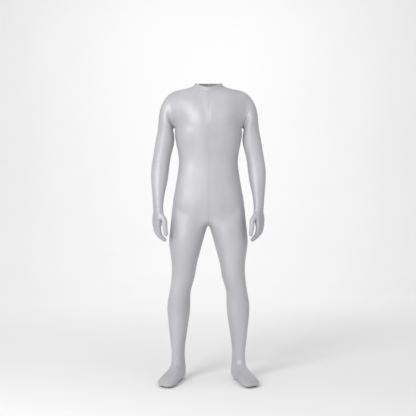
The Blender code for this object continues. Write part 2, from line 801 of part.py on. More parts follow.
def build_slider(line, metal):
    """Slider at the zip's top with its bridge, and the pull tab on the bridge."""
    top = line[0][0]
    height = top.z - SLIDER_BELOW_TOP
    y, down = back_profile(line, height)
    out = Vector((0, -down.z, down.y))
    seat = Vector((0, y, height)) + out * (CLEAR * 2)
    # Frame of the slider: X across, Y out of the back, Z up along the zip.
    frame = Matrix((Vector((1, 0, 0)), out, -down)).transposed().to_4x4()
    frame.translation = seat
    half_width, half_length = SLIDER_WIDTH / 2, BRIDGE_LENGTH / 2
    half_body = SLIDER_LENGTH / 2
    rise = SLIDER_THICK + BRIDGE_RISE
    half_bridge = BRIDGE_WIDTH / 2
    post = BRIDGE_POST
    # The posts and the bar sink a little into what they join, so that the Boolean has an overlap.
    foot = (-half_bridge, SLIDER_THICK - POST_SINK)
    boxes = [
        ((-half_width, 0, -half_body), (half_width, SLIDER_THICK, half_body)),
        ((*foot, half_length - post), (half_bridge, rise, half_length)),
        ((*foot, -half_length), (half_bridge, rise, post - half_length)),
        ((-half_bridge, rise - BRIDGE_BAR, -half_length), (half_bridge, rise, half_length)),
    ]
    slider = joined_boxes("zip_slider", boxes, [], metal, SLIDER_EDGE)
    slider.matrix_world = frame
    return frame, rise


def build_pull(line, frame, metal):
    """Pull tab whose top bar passes under the bridge; it lies along the back and swings up."""
    pivot_local = Vector((0, SLIDER_THICK + (BRIDGE_RISE - BRIDGE_BAR) / 2, -SLIDER_LENGTH / 4))
    pivot = frame @ pivot_local
    # The tab lies down the back: its tip stands just off the cloth.
    tip_height = pivot.z - PULL_LENGTH * PULL_SLANT
    tip_y, down = back_profile(line, tip_height)
    out = Vector((0, -down.z, down.y))
    tip = Vector((0, tip_y, tip_height)) + out * (PULL_THICK / 2 + PULL_OFF_CLOTH)
    along = (tip - pivot).normalized()
    turned = Matrix((Vector((1, 0, 0)), Vector((0, -along.z, along.y)), -along))
    place = turned.transposed().to_4x4()
    place.translation = pivot
    half_width, half_thick = PULL_WIDTH / 2, PULL_THICK / 2
    half_bar = PULL_BAR / 2
    gap = BRIDGE_WIDTH / 2 + CLEAR * 2
    boxes = [((-half_width, -half_thick, -PULL_LENGTH), (half_width, half_thick, half_bar))]
    cuts = [((-gap, -PULL_WIDTH, -PULL_EYE), (gap, PULL_WIDTH, -half_bar))]
    pull = joined_boxes("zip_pull", boxes, cuts, metal, PULL_EDGE)
    pull.matrix_world = place
    return pivot


for leftover in list(bpy.data.objects):
    bpy.data.objects.remove(leftover)
parts = bpy.data.collections.new("dance_jumpsuit")
helpers = bpy.data.collections.new("helpers")
bpy.context.scene.collection.children.link(parts)
bpy.context.scene.collection.children.link(helpers)

cloth = material("silver_knit", CLOTH_COLOUR, 0.42)
zip_cloth = material("zip_tape", ZIP_COLOUR, 0.7)
zip_metal = material("zip_metal", METAL_COLOUR, 0.3, 1.0)

cage_mesh, glove_backs, web_points = whole_cage()
coarse_count = len(cage_mesh.vertices)
skin_mesh = smooth_skin(cage_mesh, web_points)
even_seams(skin_mesh, coarse_count)
whole_skin, panel_numbers = marked_skin(skin_mesh, coarse_count, glove_backs)
zip_line = centre_back(whole_skin)
split_at_seams(whole_skin)
draw_in(whole_skin)
for panel_name, panel_number in panel_numbers.items():
    thickness = COLLAR_WALL if panel_name == "collar" else WALL
    panel_object(whole_skin, panel_number, panel_name, thickness, cloth)
whole_skin.free()
build_tape(zip_line, zip_cloth)
slider_frame, bridge_rise = build_slider(zip_line, zip_metal)
build_pull(zip_line, slider_frame, zip_metal)
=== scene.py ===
# %% [markdown]
# # A silver stretch jumpsuit
# The suit is one skin of thin tricot: two fronts, two backs, two sleeves, gloves in two halves and a
# narrow collar, closed by a zip down the back. It is stretched over the wearer, so nearly all of it
# lies smooth, and what makes it read as cloth is small: seams that sink a little, folds where a limb
# bends, the fine grain of the knit and a soft satin light on it.

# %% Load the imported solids
import json
import math
from collections import namedtuple

import bmesh
import bpy
import numpy as np
from mathutils import Matrix, Vector
from mathutils.bvhtree import BVHTree
from mathutils.kdtree import KDTree

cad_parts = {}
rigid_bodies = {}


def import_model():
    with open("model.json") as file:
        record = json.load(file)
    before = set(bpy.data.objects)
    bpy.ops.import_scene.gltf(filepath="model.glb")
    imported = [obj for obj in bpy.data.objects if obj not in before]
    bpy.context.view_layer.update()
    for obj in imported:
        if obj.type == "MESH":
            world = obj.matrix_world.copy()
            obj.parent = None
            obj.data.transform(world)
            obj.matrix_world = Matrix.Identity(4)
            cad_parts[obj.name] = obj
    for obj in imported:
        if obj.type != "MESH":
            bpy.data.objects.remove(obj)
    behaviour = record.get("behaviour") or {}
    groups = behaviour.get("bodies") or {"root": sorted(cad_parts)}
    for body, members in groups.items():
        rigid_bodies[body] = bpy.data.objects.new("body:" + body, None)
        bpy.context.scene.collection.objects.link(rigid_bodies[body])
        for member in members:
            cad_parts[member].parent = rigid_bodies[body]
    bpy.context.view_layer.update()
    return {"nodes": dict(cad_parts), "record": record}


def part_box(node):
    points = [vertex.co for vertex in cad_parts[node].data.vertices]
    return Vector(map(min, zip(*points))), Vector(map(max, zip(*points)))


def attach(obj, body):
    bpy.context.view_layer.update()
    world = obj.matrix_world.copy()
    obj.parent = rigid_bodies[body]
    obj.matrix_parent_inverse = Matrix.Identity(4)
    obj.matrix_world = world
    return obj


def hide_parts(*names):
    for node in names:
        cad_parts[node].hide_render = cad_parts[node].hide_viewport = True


for leftover in list(bpy.data.objects):
    bpy.data.objects.remove(leftover)
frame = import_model()
bpy.ops.object.select_all(action="DESELECT")
nodes = frame["nodes"]
print("nodes:", ", ".join(sorted(nodes)))

# %% [markdown]
# The camera stands straight in front, 3.8 m away and at the height of the wearer's hips. The lens is
# a short telephoto one, as a studio uses for a whole figure.

# %% Camera
SOLE = -1.430

bpy.ops.object.camera_add(location=(0, -3.83, -0.565), rotation=(math.radians(90), 0, 0))
camera = bpy.context.object
camera.data.lens = 65.9
camera.data.sensor_width = 36.0
camera.data.shift_x = -0.4 / 416
bpy.context.scene.camera = camera

# %% [markdown]
# A studio sweep is one pale sheet that runs along the floor and curves up behind the subject, so no
# corner shows. A plane is extruded up at its far edge, and a bevel rounds the corner.


# %% Stage
def only(obj):
    """Makes this the one selected and active object."""
    bpy.ops.object.select_all(action="DESELECT")
    obj.select_set(True)
    bpy.context.view_layer.objects.active = obj


def apply_modifiers(obj):
    only(obj)
    for modifier in list(obj.modifiers):
        bpy.ops.object.modifier_apply(modifier=modifier.name)


def select_where(obj, kind, test):
    """Selects the vertices, edges or faces whose middle passes the test, in edit mode."""
    made = bmesh.from_edit_mesh(obj.data)
    for part in (made.verts, made.edges, made.faces):
        for item in part:
            item.select = False
    for item in getattr(made, kind):
        points = [item.co] if kind == "verts" else [v.co for v in item.verts]
        if test(sum(points, Vector()) / len(points)):
            item.select_set(True)
    bmesh.update_edit_mesh(obj.data)


bpy.ops.mesh.primitive_plane_add(size=10, location=(0, 1.5, SOLE))
sweep = bpy.context.object
sweep.name = "studio_sweep"
bpy.ops.object.transform_apply(location=True)
bpy.ops.object.mode_set(mode="EDIT")
bpy.ops.mesh.select_mode(type="EDGE")
select_where(sweep, "edges", lambda middle: middle.y > 6.4)
bpy.ops.mesh.extrude_region_move(TRANSFORM_OT_translate={"value": (0, 0, 6)})
select_where(sweep, "edges", lambda middle: middle.y > 6.4 and middle.z < SOLE + 0.1)
bpy.ops.mesh.bevel(offset=2.5, segments=16)
bpy.ops.object.mode_set(mode="OBJECT")
bpy.ops.object.shade_smooth()
print("sweep faces:", len(sweep.data.polygons))

# %% [markdown]
# Soft light from a large panel on the left makes that side of the figure brighter, as in a studio
# with one key light. A weaker panel fills the right, one behind lights only the wall, and the white
# surroundings do the rest.


# %% Lights
def soft_panel(name, place, target, width, height, power):
    bpy.ops.object.light_add(type="AREA", location=place)
    light = bpy.context.object
    light.name = name
    light.data.shape = "RECTANGLE"
    light.data.size, light.data.size_y = width, height
    light.data.energy = power
    light.rotation_euler = (Vector(target) - Vector(place)).to_track_quat("-Z", "Y").to_euler()
    return light


MIDDLE = (0, 0, -0.6)
key = soft_panel("key_light", (-1.9, -3.1, 0.9), MIDDLE, 1.6, 2.2, 84)
fill = soft_panel("fill_light", (2.4, -3.2, 0.2), MIDDLE, 1.6, 2.2, 10)
top = soft_panel("top_light", (0, -0.6, 2.6), MIDDLE, 2.6, 2.6, 14)
backdrop = soft_panel("backdrop_light", (0, 2.6, 2.4), (0, 6.3, -0.2), 4.0, 1.5, 70)
world = bpy.data.worlds.new("studio")
bpy.context.scene.world = world
world.use_nodes = True
world.node_tree.nodes["Background"].inputs["Color"].default_value = (1.0, 1.0, 1.0, 1)
world.node_tree.nodes["Background"].inputs["Strength"].default_value = 0.58
bpy.context.scene.view_settings.view_transform = "Standard"
print("lights:", [light.name for light in (key, fill, top, backdrop)])

# %% [markdown]
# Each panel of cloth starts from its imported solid, which is a wall of triangles with two faces and a
# rim. Only the outer face is wanted. The rim is known by its edges, which are as long as the wall is
# thick. Without it the wall falls into two sheets, and the outer one looks outwards. Pairs of
# triangles are joined back to four-sided faces, because those smooth evenly.

# %% Outer sheets
CLOTH_WALL = 0.0012
COLLAR_WALL = 0.0018
MERGE = 0.00001
RIM_TOLERANCE = 0.00002
PANELS = (
    "front_left",
    "front_right",
    "back_left",
    "back_right",
    "sleeve_left",
    "sleeve_right",
    "glove_back_left",
    "glove_back_right",
    "glove_palm_left",
    "glove_palm_right",
    "collar",
)
# One plain material for each panel marks its faces until the panels are cut apart again.
MARKS = [bpy.data.materials.new("mark_" + name) for name in PANELS]


def islands(made):
    """The faces in groups that hang together."""
    waiting, groups = set(made.faces), []
    while waiting:
        front, group = [waiting.pop()], []
        while front:
            face = front.pop()
            group.append(face)
            for edge in face.edges:
                for other in edge.link_faces:
                    if other in waiting:
                        waiting.remove(other)
                        front.append(other)
        groups.append(group)
    return groups


def outwardness(faces, centre):
    """Positive where the faces look away from the centre, as those of an outer wall do."""
    return sum(
        face.calc_area() * face.normal.dot(face.calc_center_median() - centre) for face in faces
    )


def outer_sheet(name):
    wall = COLLAR_WALL if name == "collar" else CLOTH_WALL
    made = bmesh.new()
    made.from_mesh(nodes[name].data)
    bmesh.ops.remove_doubles(made, verts=made.verts, dist=MERGE)
    rim = [
        face
        for face in made.faces
        if any(abs(edge.calc_length() - wall) < RIM_TOLERANCE for edge in face.edges)
    ]
    bmesh.ops.delete(made, geom=rim, context="FACES")
    centre = sum((v.co for v in made.verts), Vector()) / len(made.verts)
    groups = sorted(islands(made), key=lambda group: outwardness(group, centre))
    spare = [face for group in groups[:-1] for face in group]
    bmesh.ops.delete(made, geom=spare, context="FACES")
    for edge in made.edges:
        edge.seam = edge.is_boundary
    mesh = bpy.data.meshes.new(name + "_sheet")
    made.to_mesh(mesh)
    made.free()
    mesh.materials.clear()
    for mark in MARKS:
        mesh.materials.append(mark)
    number = PANELS.index(name)
    mesh.polygons.foreach_set("material_index", [number] * len(mesh.polygons))
    sheet = bpy.data.objects.new(name + "_sheet", mesh)
    bpy.context.scene.collection.objects.link(sheet)
    return sheet, len(groups)


sheets = []
for name in PANELS:
    sheet, parts = outer_sheet(name)
    print(name, "islands:", parts, "faces:", len(sheet.data.polygons))
    sheets.append(sheet)

# %% [markdown]
# The sheets are welded at their seams into one skin. Smoothing the whole skin, and cutting it apart
# again afterwards, keeps neighbours in line with each other across a seam. The gap that the zip lies
# in is closed first, by moving its edges to the middle of the back.

# %% Weld the sheets
ZIP_HALF_GAP = 0.0030
WELD = 0.0008

bpy.ops.object.select_all(action="DESELECT")
for sheet in sheets:
    sheet.select_set(True)
bpy.context.view_layer.objects.active = sheets[0]
bpy.ops.object.join()
skin = bpy.context.object
skin.name = "skin"

made = bmesh.new()
made.from_mesh(skin.data)
zip_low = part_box("zip_tape")[0][2]
edge_points = [v for v in made.verts if v.is_boundary]
for point in edge_points:
    if abs(point.co.x) < ZIP_HALF_GAP + 0.0002 and point.co.y > 0:
        point.co.x = 0
bmesh.ops.remove_doubles(made, verts=edge_points, dist=WELD)
bmesh.ops.recalc_face_normals(made, faces=made.faces)
print("open edges:", sum(edge.is_boundary for edge in made.edges), "(the neck)")
made.to_mesh(skin.data)
made.free()

only(skin)
bpy.ops.object.mode_set(mode="EDIT")
bpy.ops.mesh.select_all(action="SELECT")
bpy.ops.mesh.tris_convert_to_quads(
    face_threshold=math.pi, shape_threshold=math.pi, topology_influence=1.0, seam=True, materials=True
)
bpy.ops.object.mode_set(mode="OBJECT")
sides = [len(polygon.vertices) for polygon in skin.data.polygons]
print("four-sided faces:", sides.count(4), "triangles left:", sides.count(3))

# %% [markdown]
# A pattern on cloth follows its threads, so each panel gets a flat map, as the paper pattern that it
# is cut from. The seams are already marked. After unwrapping, each panel's map is brought to real
# metres and turned so that its second axis runs along the body, as the knit's ribs do.

# %% Flat maps
bpy.ops.object.mode_set(mode="EDIT")
bpy.ops.mesh.select_all(action="SELECT")
bpy.ops.uv.unwrap(method="ANGLE_BASED", margin=0.01)
bpy.ops.object.mode_set(mode="OBJECT")


def straighten_map(mesh, number):
    """Scales one panel's map to metres and turns it upright. Gives its width and length."""
    layer = mesh.uv_layers.active.data
    flat_area = real_area = 0.0
    rows, heights, loops = [], [], []
    for polygon in mesh.polygons:
        if polygon.material_index != number:
            continue
        corners = [layer[i].uv.copy() for i in polygon.loop_indices]
        points = [mesh.vertices[i].co for i in polygon.vertices]
        turns = zip(corners, corners[1:] + corners[:1])
        flat_area += abs(sum(a.x * b.y - b.x * a.y for a, b in turns)) / 2
        real_area += polygon.area
        rows += [(uv.x, uv.y, 1) for uv in corners]
        heights += [point.z for point in points]
        loops += list(polygon.loop_indices)
    slope = np.linalg.lstsq(np.array(rows), np.array(heights), rcond=None)[0]
    up = Vector(slope[:2]).normalized()
    scale = math.sqrt(real_area / flat_area)
    turned = [(u * up.y - v * up.x, u * up.x + v * up.y) for u, v, _ in rows]
    turned = np.array(turned) * scale
    turned -= turned.min(axis=0)
    for index, place in zip(loops, turned):
        layer[index].uv = place
    return turned.max(axis=0)


for number, name in enumerate(PANELS):
    width, length = straighten_map(skin.data, number)
    print(f"{name}: map {width:.3f} x {length:.3f} m")

# %% [markdown]
# Subdivision rounds the skin, and pulls it in a little at every point. So the points are pushed out
# once by as much as they would fall short, and the smoothed skin then passes where the solids are.
# The body and sleeves are subdivided three times, to about 3 mm, which is fine enough for folds. The
# gloves have smaller faces to begin with and need two.


# %% Smooth the skin
def evaluated(obj):
    bpy.context.view_layer.update()
    graph = bpy.context.evaluated_depsgraph_get()
    return bpy.data.meshes.new_from_object(obj.evaluated_get(graph))


def coordinates(mesh):
    values = np.empty(len(mesh.vertices) * 3)
    mesh.vertices.foreach_get("co", values)
    return values.reshape(-1, 3)


def set_coordinates(mesh, places):
    mesh.vertices.foreach_set("co", places.ravel())
    mesh.update()


def subdivided(obj, levels):
    smoothing = obj.modifiers.new("Smooth", "SUBSURF")
    smoothing.levels = smoothing.render_levels = levels
    mesh = evaluated(obj)
    obj.modifiers.remove(smoothing)
    return mesh


wanted = coordinates(skin.data)
reached = coordinates(subdivided(skin, 1))[: len(wanted)]
set_coordinates(skin.data, wanted + (wanted - reached))
print(f"largest push: {np.abs(wanted - reached).max() * 1000:.2f} mm")
fine, medium = subdivided(skin, 3), subdivided(skin, 2)
print("points:", len(fine.vertices), "and", len(medium.vertices))

# %% [markdown]
# Folds come where a limb bends: they run out of the underarm over the front of the sleeve, from the
# crotch, round the wrist, across the ankle, behind the knee and at the small of the back. Each is
# placed as a soft trough with slightly raised sides, and no two are alike in length, depth or
# spacing. A row gives both ends, as X and Z, how far the middle bows sideways, the trough's half
# width, its depth, and where along it the depth is greatest. A negative depth makes a ridge.

# %% Table of folds
Fold = namedtuple("Fold", "side x0 z0 x1 z1 bow half_width depth deepest")
UNDERARM_FOLDS = (
    Fold("front", -0.1660, -0.157, -0.1960, -0.086, 0.004, 0.0046, 0.0034, 0.35),
    Fold("front", -0.1655, -0.160, -0.2050, -0.117, -0.003, 0.0042, 0.0036, 0.40),
    Fold("front", -0.1640, -0.150, -0.1850, -0.095, 0.003, 0.0038, 0.0026, 0.45),
    Fold("front", -0.1690, -0.175, -0.2020, -0.136, -0.004, 0.0044, 0.0028, 0.35),
    Fold("front", -0.1640, -0.142, -0.1760, -0.108, 0.000, 0.0034, 0.0018, 0.50),
    Fold("front", -0.1745, -0.190, -0.1990, -0.160, 0.002, 0.0040, 0.0014, 0.45),
    Fold("front", 0.1740, -0.150, 0.1920, -0.092, -0.004, 0.0046, 0.0036, 0.35),
    Fold("front", 0.1790, -0.142, 0.2110, -0.070, 0.003, 0.0038, 0.0020, 0.45),
    Fold("front", 0.1850, -0.142, 0.2270, -0.093, -0.002, 0.0036, 0.0022, 0.50),
    Fold("front", 0.1950, -0.150, 0.2260, -0.118, 0.002, 0.0034, 0.0018, 0.50),
    Fold("front", 0.1890, -0.088, 0.2120, -0.117, 0.001, 0.0032, 0.0012, 0.50),
    Fold("front", 0.1990, -0.080, 0.2230, -0.104, -0.001, 0.0030, 0.0010, 0.50),
    Fold("front", 0.1720, -0.168, 0.1930, -0.186, 0.002, 0.0040, 0.0016, 0.40),
    Fold("back", -0.1670, -0.158, -0.2020, -0.080, 0.004, 0.0048, 0.0034, 0.35),
    Fold("back", -0.1660, -0.165, -0.2120, -0.122, -0.004, 0.0044, 0.0030, 0.40),
    Fold("back", -0.1650, -0.148, -0.1830, -0.084, 0.003, 0.0040, 0.0022, 0.50),
    Fold("back", -0.1580, -0.160, -0.1280, -0.176, 0.002, 0.0050, 0.0018, 0.35),
    Fold("back", 0.1670, -0.160, 0.1990, -0.093, -0.003, 0.0046, 0.0032, 0.35),
    Fold("back", 0.1660, -0.170, 0.2080, -0.134, 0.004, 0.0042, 0.0030, 0.45),
    Fold("back", 0.1650, -0.150, 0.1800, -0.100, -0.002, 0.0038, 0.0020, 0.50),
    Fold("back", 0.1590, -0.165, 0.1230, -0.186, -0.003, 0.0050, 0.0020, 0.40),
)
CROTCH_FOLDS = (
    Fold("front", -0.0080, -0.655, -0.0300, -0.628, 0.003, 0.0042, 0.0018, 0.40),
    Fold("front", -0.0125, -0.662, -0.0300, -0.655, 0.001, 0.0036, 0.0016, 0.45),
    Fold("front", 0.0080, -0.652, 0.0330, -0.598, -0.005, 0.0050, 0.0022, 0.45),
    Fold("front", 0.0130, -0.633, 0.0230, -0.655, 0.001, 0.0036, 0.0018, 0.50),
    Fold("front", 0.0150, -0.664, 0.0420, -0.655, 0.002, 0.0040, 0.0013, 0.40),
    Fold("back", -0.0100, -0.655, -0.0420, -0.690, -0.004, 0.0060, 0.0028, 0.40),
    Fold("back", 0.0100, -0.655, 0.0480, -0.684, 0.004, 0.0060, 0.0026, 0.45),
    Fold("back", -0.0180, -0.640, -0.0600, -0.668, -0.003, 0.0060, 0.0016, 0.45),
    Fold("back", 0.0160, -0.640, 0.0660, -0.660, 0.003, 0.0055, 0.0018, 0.50),
)
WRIST_FOLDS = (
    Fold("front", -0.2700, -0.556, -0.2330, -0.566, 0.0020, 0.0030, 0.0014, 0.50),
    Fold("front", -0.2690, -0.570, -0.2360, -0.577, -0.0015, 0.0028, 0.0011, 0.40),
    Fold("front", -0.2650, -0.545, -0.2430, -0.549, 0.0010, 0.0028, 0.0008, 0.60),
    Fold("front", 0.2710, -0.560, 0.2350, -0.567, 0.0020, 0.0030, 0.0013, 0.45),
    Fold("front", 0.2690, -0.573, 0.2410, -0.583, -0.0010, 0.0028, 0.0012, 0.55),
    Fold("front", 0.2650, -0.548, 0.2390, -0.551, 0.0010, 0.0028, 0.0008, 0.50),
    Fold("back", -0.2740, -0.558, -0.2350, -0.563, -0.0020, 0.0030, 0.0016, 0.50),
    Fold("back", -0.2730, -0.572, -0.2400, -0.579, 0.0015, 0.0030, 0.0012, 0.45),
    Fold("back", 0.2740, -0.555, 0.2370, -0.565, 0.0020, 0.0030, 0.0015, 0.55),
    Fold("back", 0.2720, -0.570, 0.2360, -0.574, -0.0010, 0.0030, 0.0011, 0.50),
)
ELBOW_FOLDS = (
    Fold("front", -0.2580, -0.336, -0.2180, -0.346, 0.003, 0.0055, 0.0016, 0.60),
    Fold("front", -0.2540, -0.356, -0.2130, -0.360, -0.002, 0.0050, 0.0013, 0.55),
    Fold("front", -0.2420, -0.322, -0.2110, -0.330, 0.002, 0.0045, 0.0009, 0.50),
    Fold("front", 0.2560, -0.340, 0.2160, -0.345, 0.003, 0.0055, 0.0014, 0.60),
    Fold("front", 0.2590, -0.358, 0.2190, -0.366, -0.003, 0.0050, 0.0012, 0.50),
    Fold("back", -0.2560, -0.330, -0.2250, -0.324, 0.002, 0.0060, 0.0008, 0.50),
    Fold("back", 0.2550, -0.347, 0.2240, -0.340, -0.002, 0.0060, 0.0009, 0.50),
)
KNEE_FOLDS = (
    Fold("back", -0.1660, -0.915, -0.1010, -0.927, 0.005, 0.0065, 0.0024, 0.45),
    Fold("back", -0.1700, -0.940, -0.1120, -0.946, -0.004, 0.0060, 0.0018, 0.55),
    Fold("back", -0.1500, -0.898, -0.0960, -0.901, 0.003, 0.0060, 0.0012, 0.50),
    Fold("back", 0.1670, -0.920, 0.1030, -0.925, 0.005, 0.0065, 0.0022, 0.55),
    Fold("back", 0.1640, -0.936, 0.1090, -0.948, -0.003, 0.0060, 0.0019, 0.45),
    Fold("back", 0.1590, -0.900, 0.1120, -0.905, 0.002, 0.0060, 0.0011, 0.50),
    Fold("front", -0.1700, -0.955, -0.1380, -0.963, 0.003, 0.0070, 0.0008, 0.50),
    Fold("front", 0.1690, -0.950, 0.1400, -0.960, 0.003, 0.0070, 0.0007, 0.50),
)
ANKLE_FOLDS = (
    Fold("front", -0.1800, -1.322, -0.1440, -1.332, -0.004, 0.0050, 0.0020, 0.50),
    Fold("front", -0.1860, -1.341, -0.1470, -1.350, -0.003, 0.0046, 0.0016, 0.45),
    Fold("front", -0.1720, -1.303, -0.1420, -1.309, -0.002, 0.0046, 0.0009, 0.55),
    Fold("front", 0.1810, -1.320, 0.1430, -1.330, -0.004, 0.0050, 0.0018, 0.45),
    Fold("front", 0.1850, -1.338, 0.1490, -1.351, -0.003, 0.0046, 0.0017, 0.55),
    Fold("back", -0.1740, -1.318, -0.1330, -1.322, 0.003, 0.0050, 0.0016, 0.50),
    Fold("back", -0.1700, -1.336, -0.1380, -1.340, -0.002, 0.0046, 0.0013, 0.45),
    Fold("back", 0.1750, -1.316, 0.1340, -1.324, 0.003, 0.0050, 0.0015, 0.55),
    Fold("back", 0.1690, -1.333, 0.1350, -1.341, -0.002, 0.0046, 0.0014, 0.50),
)
BACK_FOLDS = (
    Fold("back", -0.1180, -0.352, -0.0200, -0.340, 0.006, 0.0090, 0.0018, 0.55),
    Fold("back", 0.1260, -0.345, 0.0240, -0.338, 0.005, 0.0090, 0.0016, 0.50),
    Fold("back", -0.0980, -0.384, -0.0260, -0.372, 0.004, 0.0080, 0.0012, 0.50),
    Fold("back", 0.1060, -0.378, 0.0220, -0.374, -0.004, 0.0080, 0.0013, 0.55),
)
# Broad and shallow: where the cloth spans a hollow of the body instead of lying in it.
SPANS = (
    Fold("front", -0.0220, -0.050, -0.0120, -0.170, 0.004, 0.0240, 0.0022, 0.50),
    Fold("front", 0.0500, -0.165, 0.1240, -0.150, -0.010, 0.0200, 0.0012, 0.50),
    Fold("front", -0.0500, -0.168, -0.1250, -0.150, 0.010, 0.0200, 0.0012, 0.50),
    Fold("back", 0.0000, -0.060, 0.0000, -0.330, 0.000, 0.0220, 0.0020, 0.50),
)

# %% [markdown]
# Each fold's line is laid on the skin by rays, from the front or the back. A point of the skin then
# moves along its own normal, by how near it is to the line and how far along it.

# %% Press the folds in
STEPS = 14
REACH = 2.4
SHOULDER = 0.9
skin_tree = BVHTree.FromPolygons(
    [v.co for v in medium.vertices], [tuple(p.vertices) for p in medium.polygons]
)


def fold_line(fold):
    """Points on the skin along a fold."""
    start, end = np.array((fold.x0, fold.z0)), np.array((fold.x1, fold.z1))
    along = end - start
    aside = np.array((-along[1], along[0])) / np.linalg.norm(along)
    toward = 1 if fold.side == "front" else -1
    line = []
    for share in np.linspace(0, 1, STEPS):
        x, z = start + along * share + aside * fold.bow * math.sin(math.pi * share)
        hit = skin_tree.ray_cast(Vector((x, -toward, z)), Vector((0, toward, 0)))[0]
        if hit is not None:
            line.append(hit[:])
    return np.array(line)


def nearest_on_line(points, line):
    """Distance of each point to a line of short pieces, and its share of the way along."""
    best, share = np.full(len(points), np.inf), np.zeros(len(points))
    for i, (a, b) in enumerate(zip(line, line[1:])):
        piece = b - a
        t = np.clip((points - a) @ piece / (piece @ piece), 0, 1)
        away = np.linalg.norm(points - a - t[:, None] * piece, axis=1)
        closer = away < best
        best[closer] = away[closer]
        share[closer] = (i + t[closer]) / (len(line) - 1)
    return best, share


def press_folds(mesh, folds):
    places = coordinates(mesh)
    normals = np.empty(places.size)
    mesh.vertices.foreach_get("normal", normals)
    normals = normals.reshape(-1, 3)
    depth = np.zeros(len(places))
    for fold in folds:
        line = fold_line(fold)
        if len(line) < 2:
            raise ValueError(f"this fold misses the suit: {fold}")
        reach = fold.half_width * REACH
        inside = (places > line.min(axis=0) - reach) & (places < line.max(axis=0) + reach)
        near = np.flatnonzero(inside.all(axis=1))
        away, share = nearest_on_line(places[near], line)
        q = (away / fold.half_width) ** 2
        swell = np.sin(math.pi * share ** (math.log(0.5) / math.log(fold.deepest)))
        depth[near] += fold.depth * (1 - SHOULDER * q) * np.exp(-q) * np.maximum(swell, 0)
    set_coordinates(mesh, places - normals * depth[:, None])
    return depth


ALL_FOLDS = (
    UNDERARM_FOLDS
    + CROTCH_FOLDS
    + WRIST_FOLDS
    + ELBOW_FOLDS
    + KNEE_FOLDS
    + ANKLE_FOLDS
    + BACK_FOLDS
    + SPANS
)
for mesh in (fine, medium):
    depth = press_folds(mesh, ALL_FOLDS)
    print(len(ALL_FOLDS), f"folds, deepest {depth.max() * 1000:.1f} mm")

# %% [markdown]
# A seam pulls its cloth down into a narrow groove, because the edges are turned inside and sewn. The
# distance to the nearest seam is kept on each point as well, so that the finish can paint shade along the
# seams.

# %% Sink the seams
SEAM_DEPTH = 0.00012
SEAM_WIDTH = 0.0016


def sink_seams(mesh):
    places = coordinates(mesh)
    normals = np.empty(places.size)
    mesh.vertices.foreach_get("normal", normals)
    normals = normals.reshape(-1, 3)
    on_seam = sorted({i for edge in mesh.edges if edge.use_seam for i in edge.vertices})
    tree = KDTree(len(on_seam))
    for i in on_seam:
        tree.insert(places[i], i)
    tree.balance()
    away = np.array([tree.find(place)[2] for place in places])
    sink = SEAM_DEPTH * np.exp(-((away / SEAM_WIDTH) ** 2))
    set_coordinates(mesh, places - normals * sink[:, None])
    # The same falloff is kept for the finish, which paints shade along the seams with it.
    layer = mesh.attributes.new("seam", "FLOAT", "POINT")
    layer.data.foreach_set("value", np.exp(-((away / SEAM_WIDTH) ** 2)))
    return len(on_seam)


for mesh in (fine, medium):
    print("points on seams:", sink_seams(mesh))

# %% [markdown]
# The skin is opened again at the zip: whatever lies within 12 mm of the middle of the back moves
# sideways, so that 3 mm of room is left on each side. At the zip's lower end the gap closes in a dart.

# %% Open the zip's gap
GAP_REACH = 0.012
DART = 0.024
NEAR_MIDDLE = 0.0003


def gap_at(height):
    """Half the zip's gap at a height, or at an array of heights."""
    return np.clip((height - zip_low + DART / 5) / DART, 0, 1) * ZIP_HALF_GAP


def middle_of_back(mesh):
    """Indexes of the points where the left back meets the right, and of those on the collar's slit."""
    return [
        v.index for v in mesh.vertices if abs(v.co.x) < NEAR_MIDDLE and v.co.y > 0 and v.co.z > zip_low
    ]


for mesh in (fine, medium):
    places = coordinates(mesh)
    places[middle_of_back(mesh), 0] = 0
    side, away = np.sign(places[:, 0]), np.abs(places[:, 0])
    half_gap = gap_at(places[:, 2])
    near = (places[:, 1] > 0) & (away < GAP_REACH) & (half_gap > 0) & (side != 0)
    # The points in the middle stay, because the cut sends them to both sides.
    places[near, 0] = (side * (half_gap + away * (1 - half_gap / GAP_REACH)))[near]
    set_coordinates(mesh, places)
print("points down the middle of the back:", len(middle_of_back(fine)))

# %% [markdown]
# Now the skin is cut into its panels. Each keeps its own faces, gives way by 0.15 mm at its seams, and
# gets its wall from a Solidify modifier that grows inwards, so that the outside stays where it is.


# %% Cut the panels
SEAM_HALF_GAP = 0.00015
WALLS = {"collar": COLLAR_WALL}


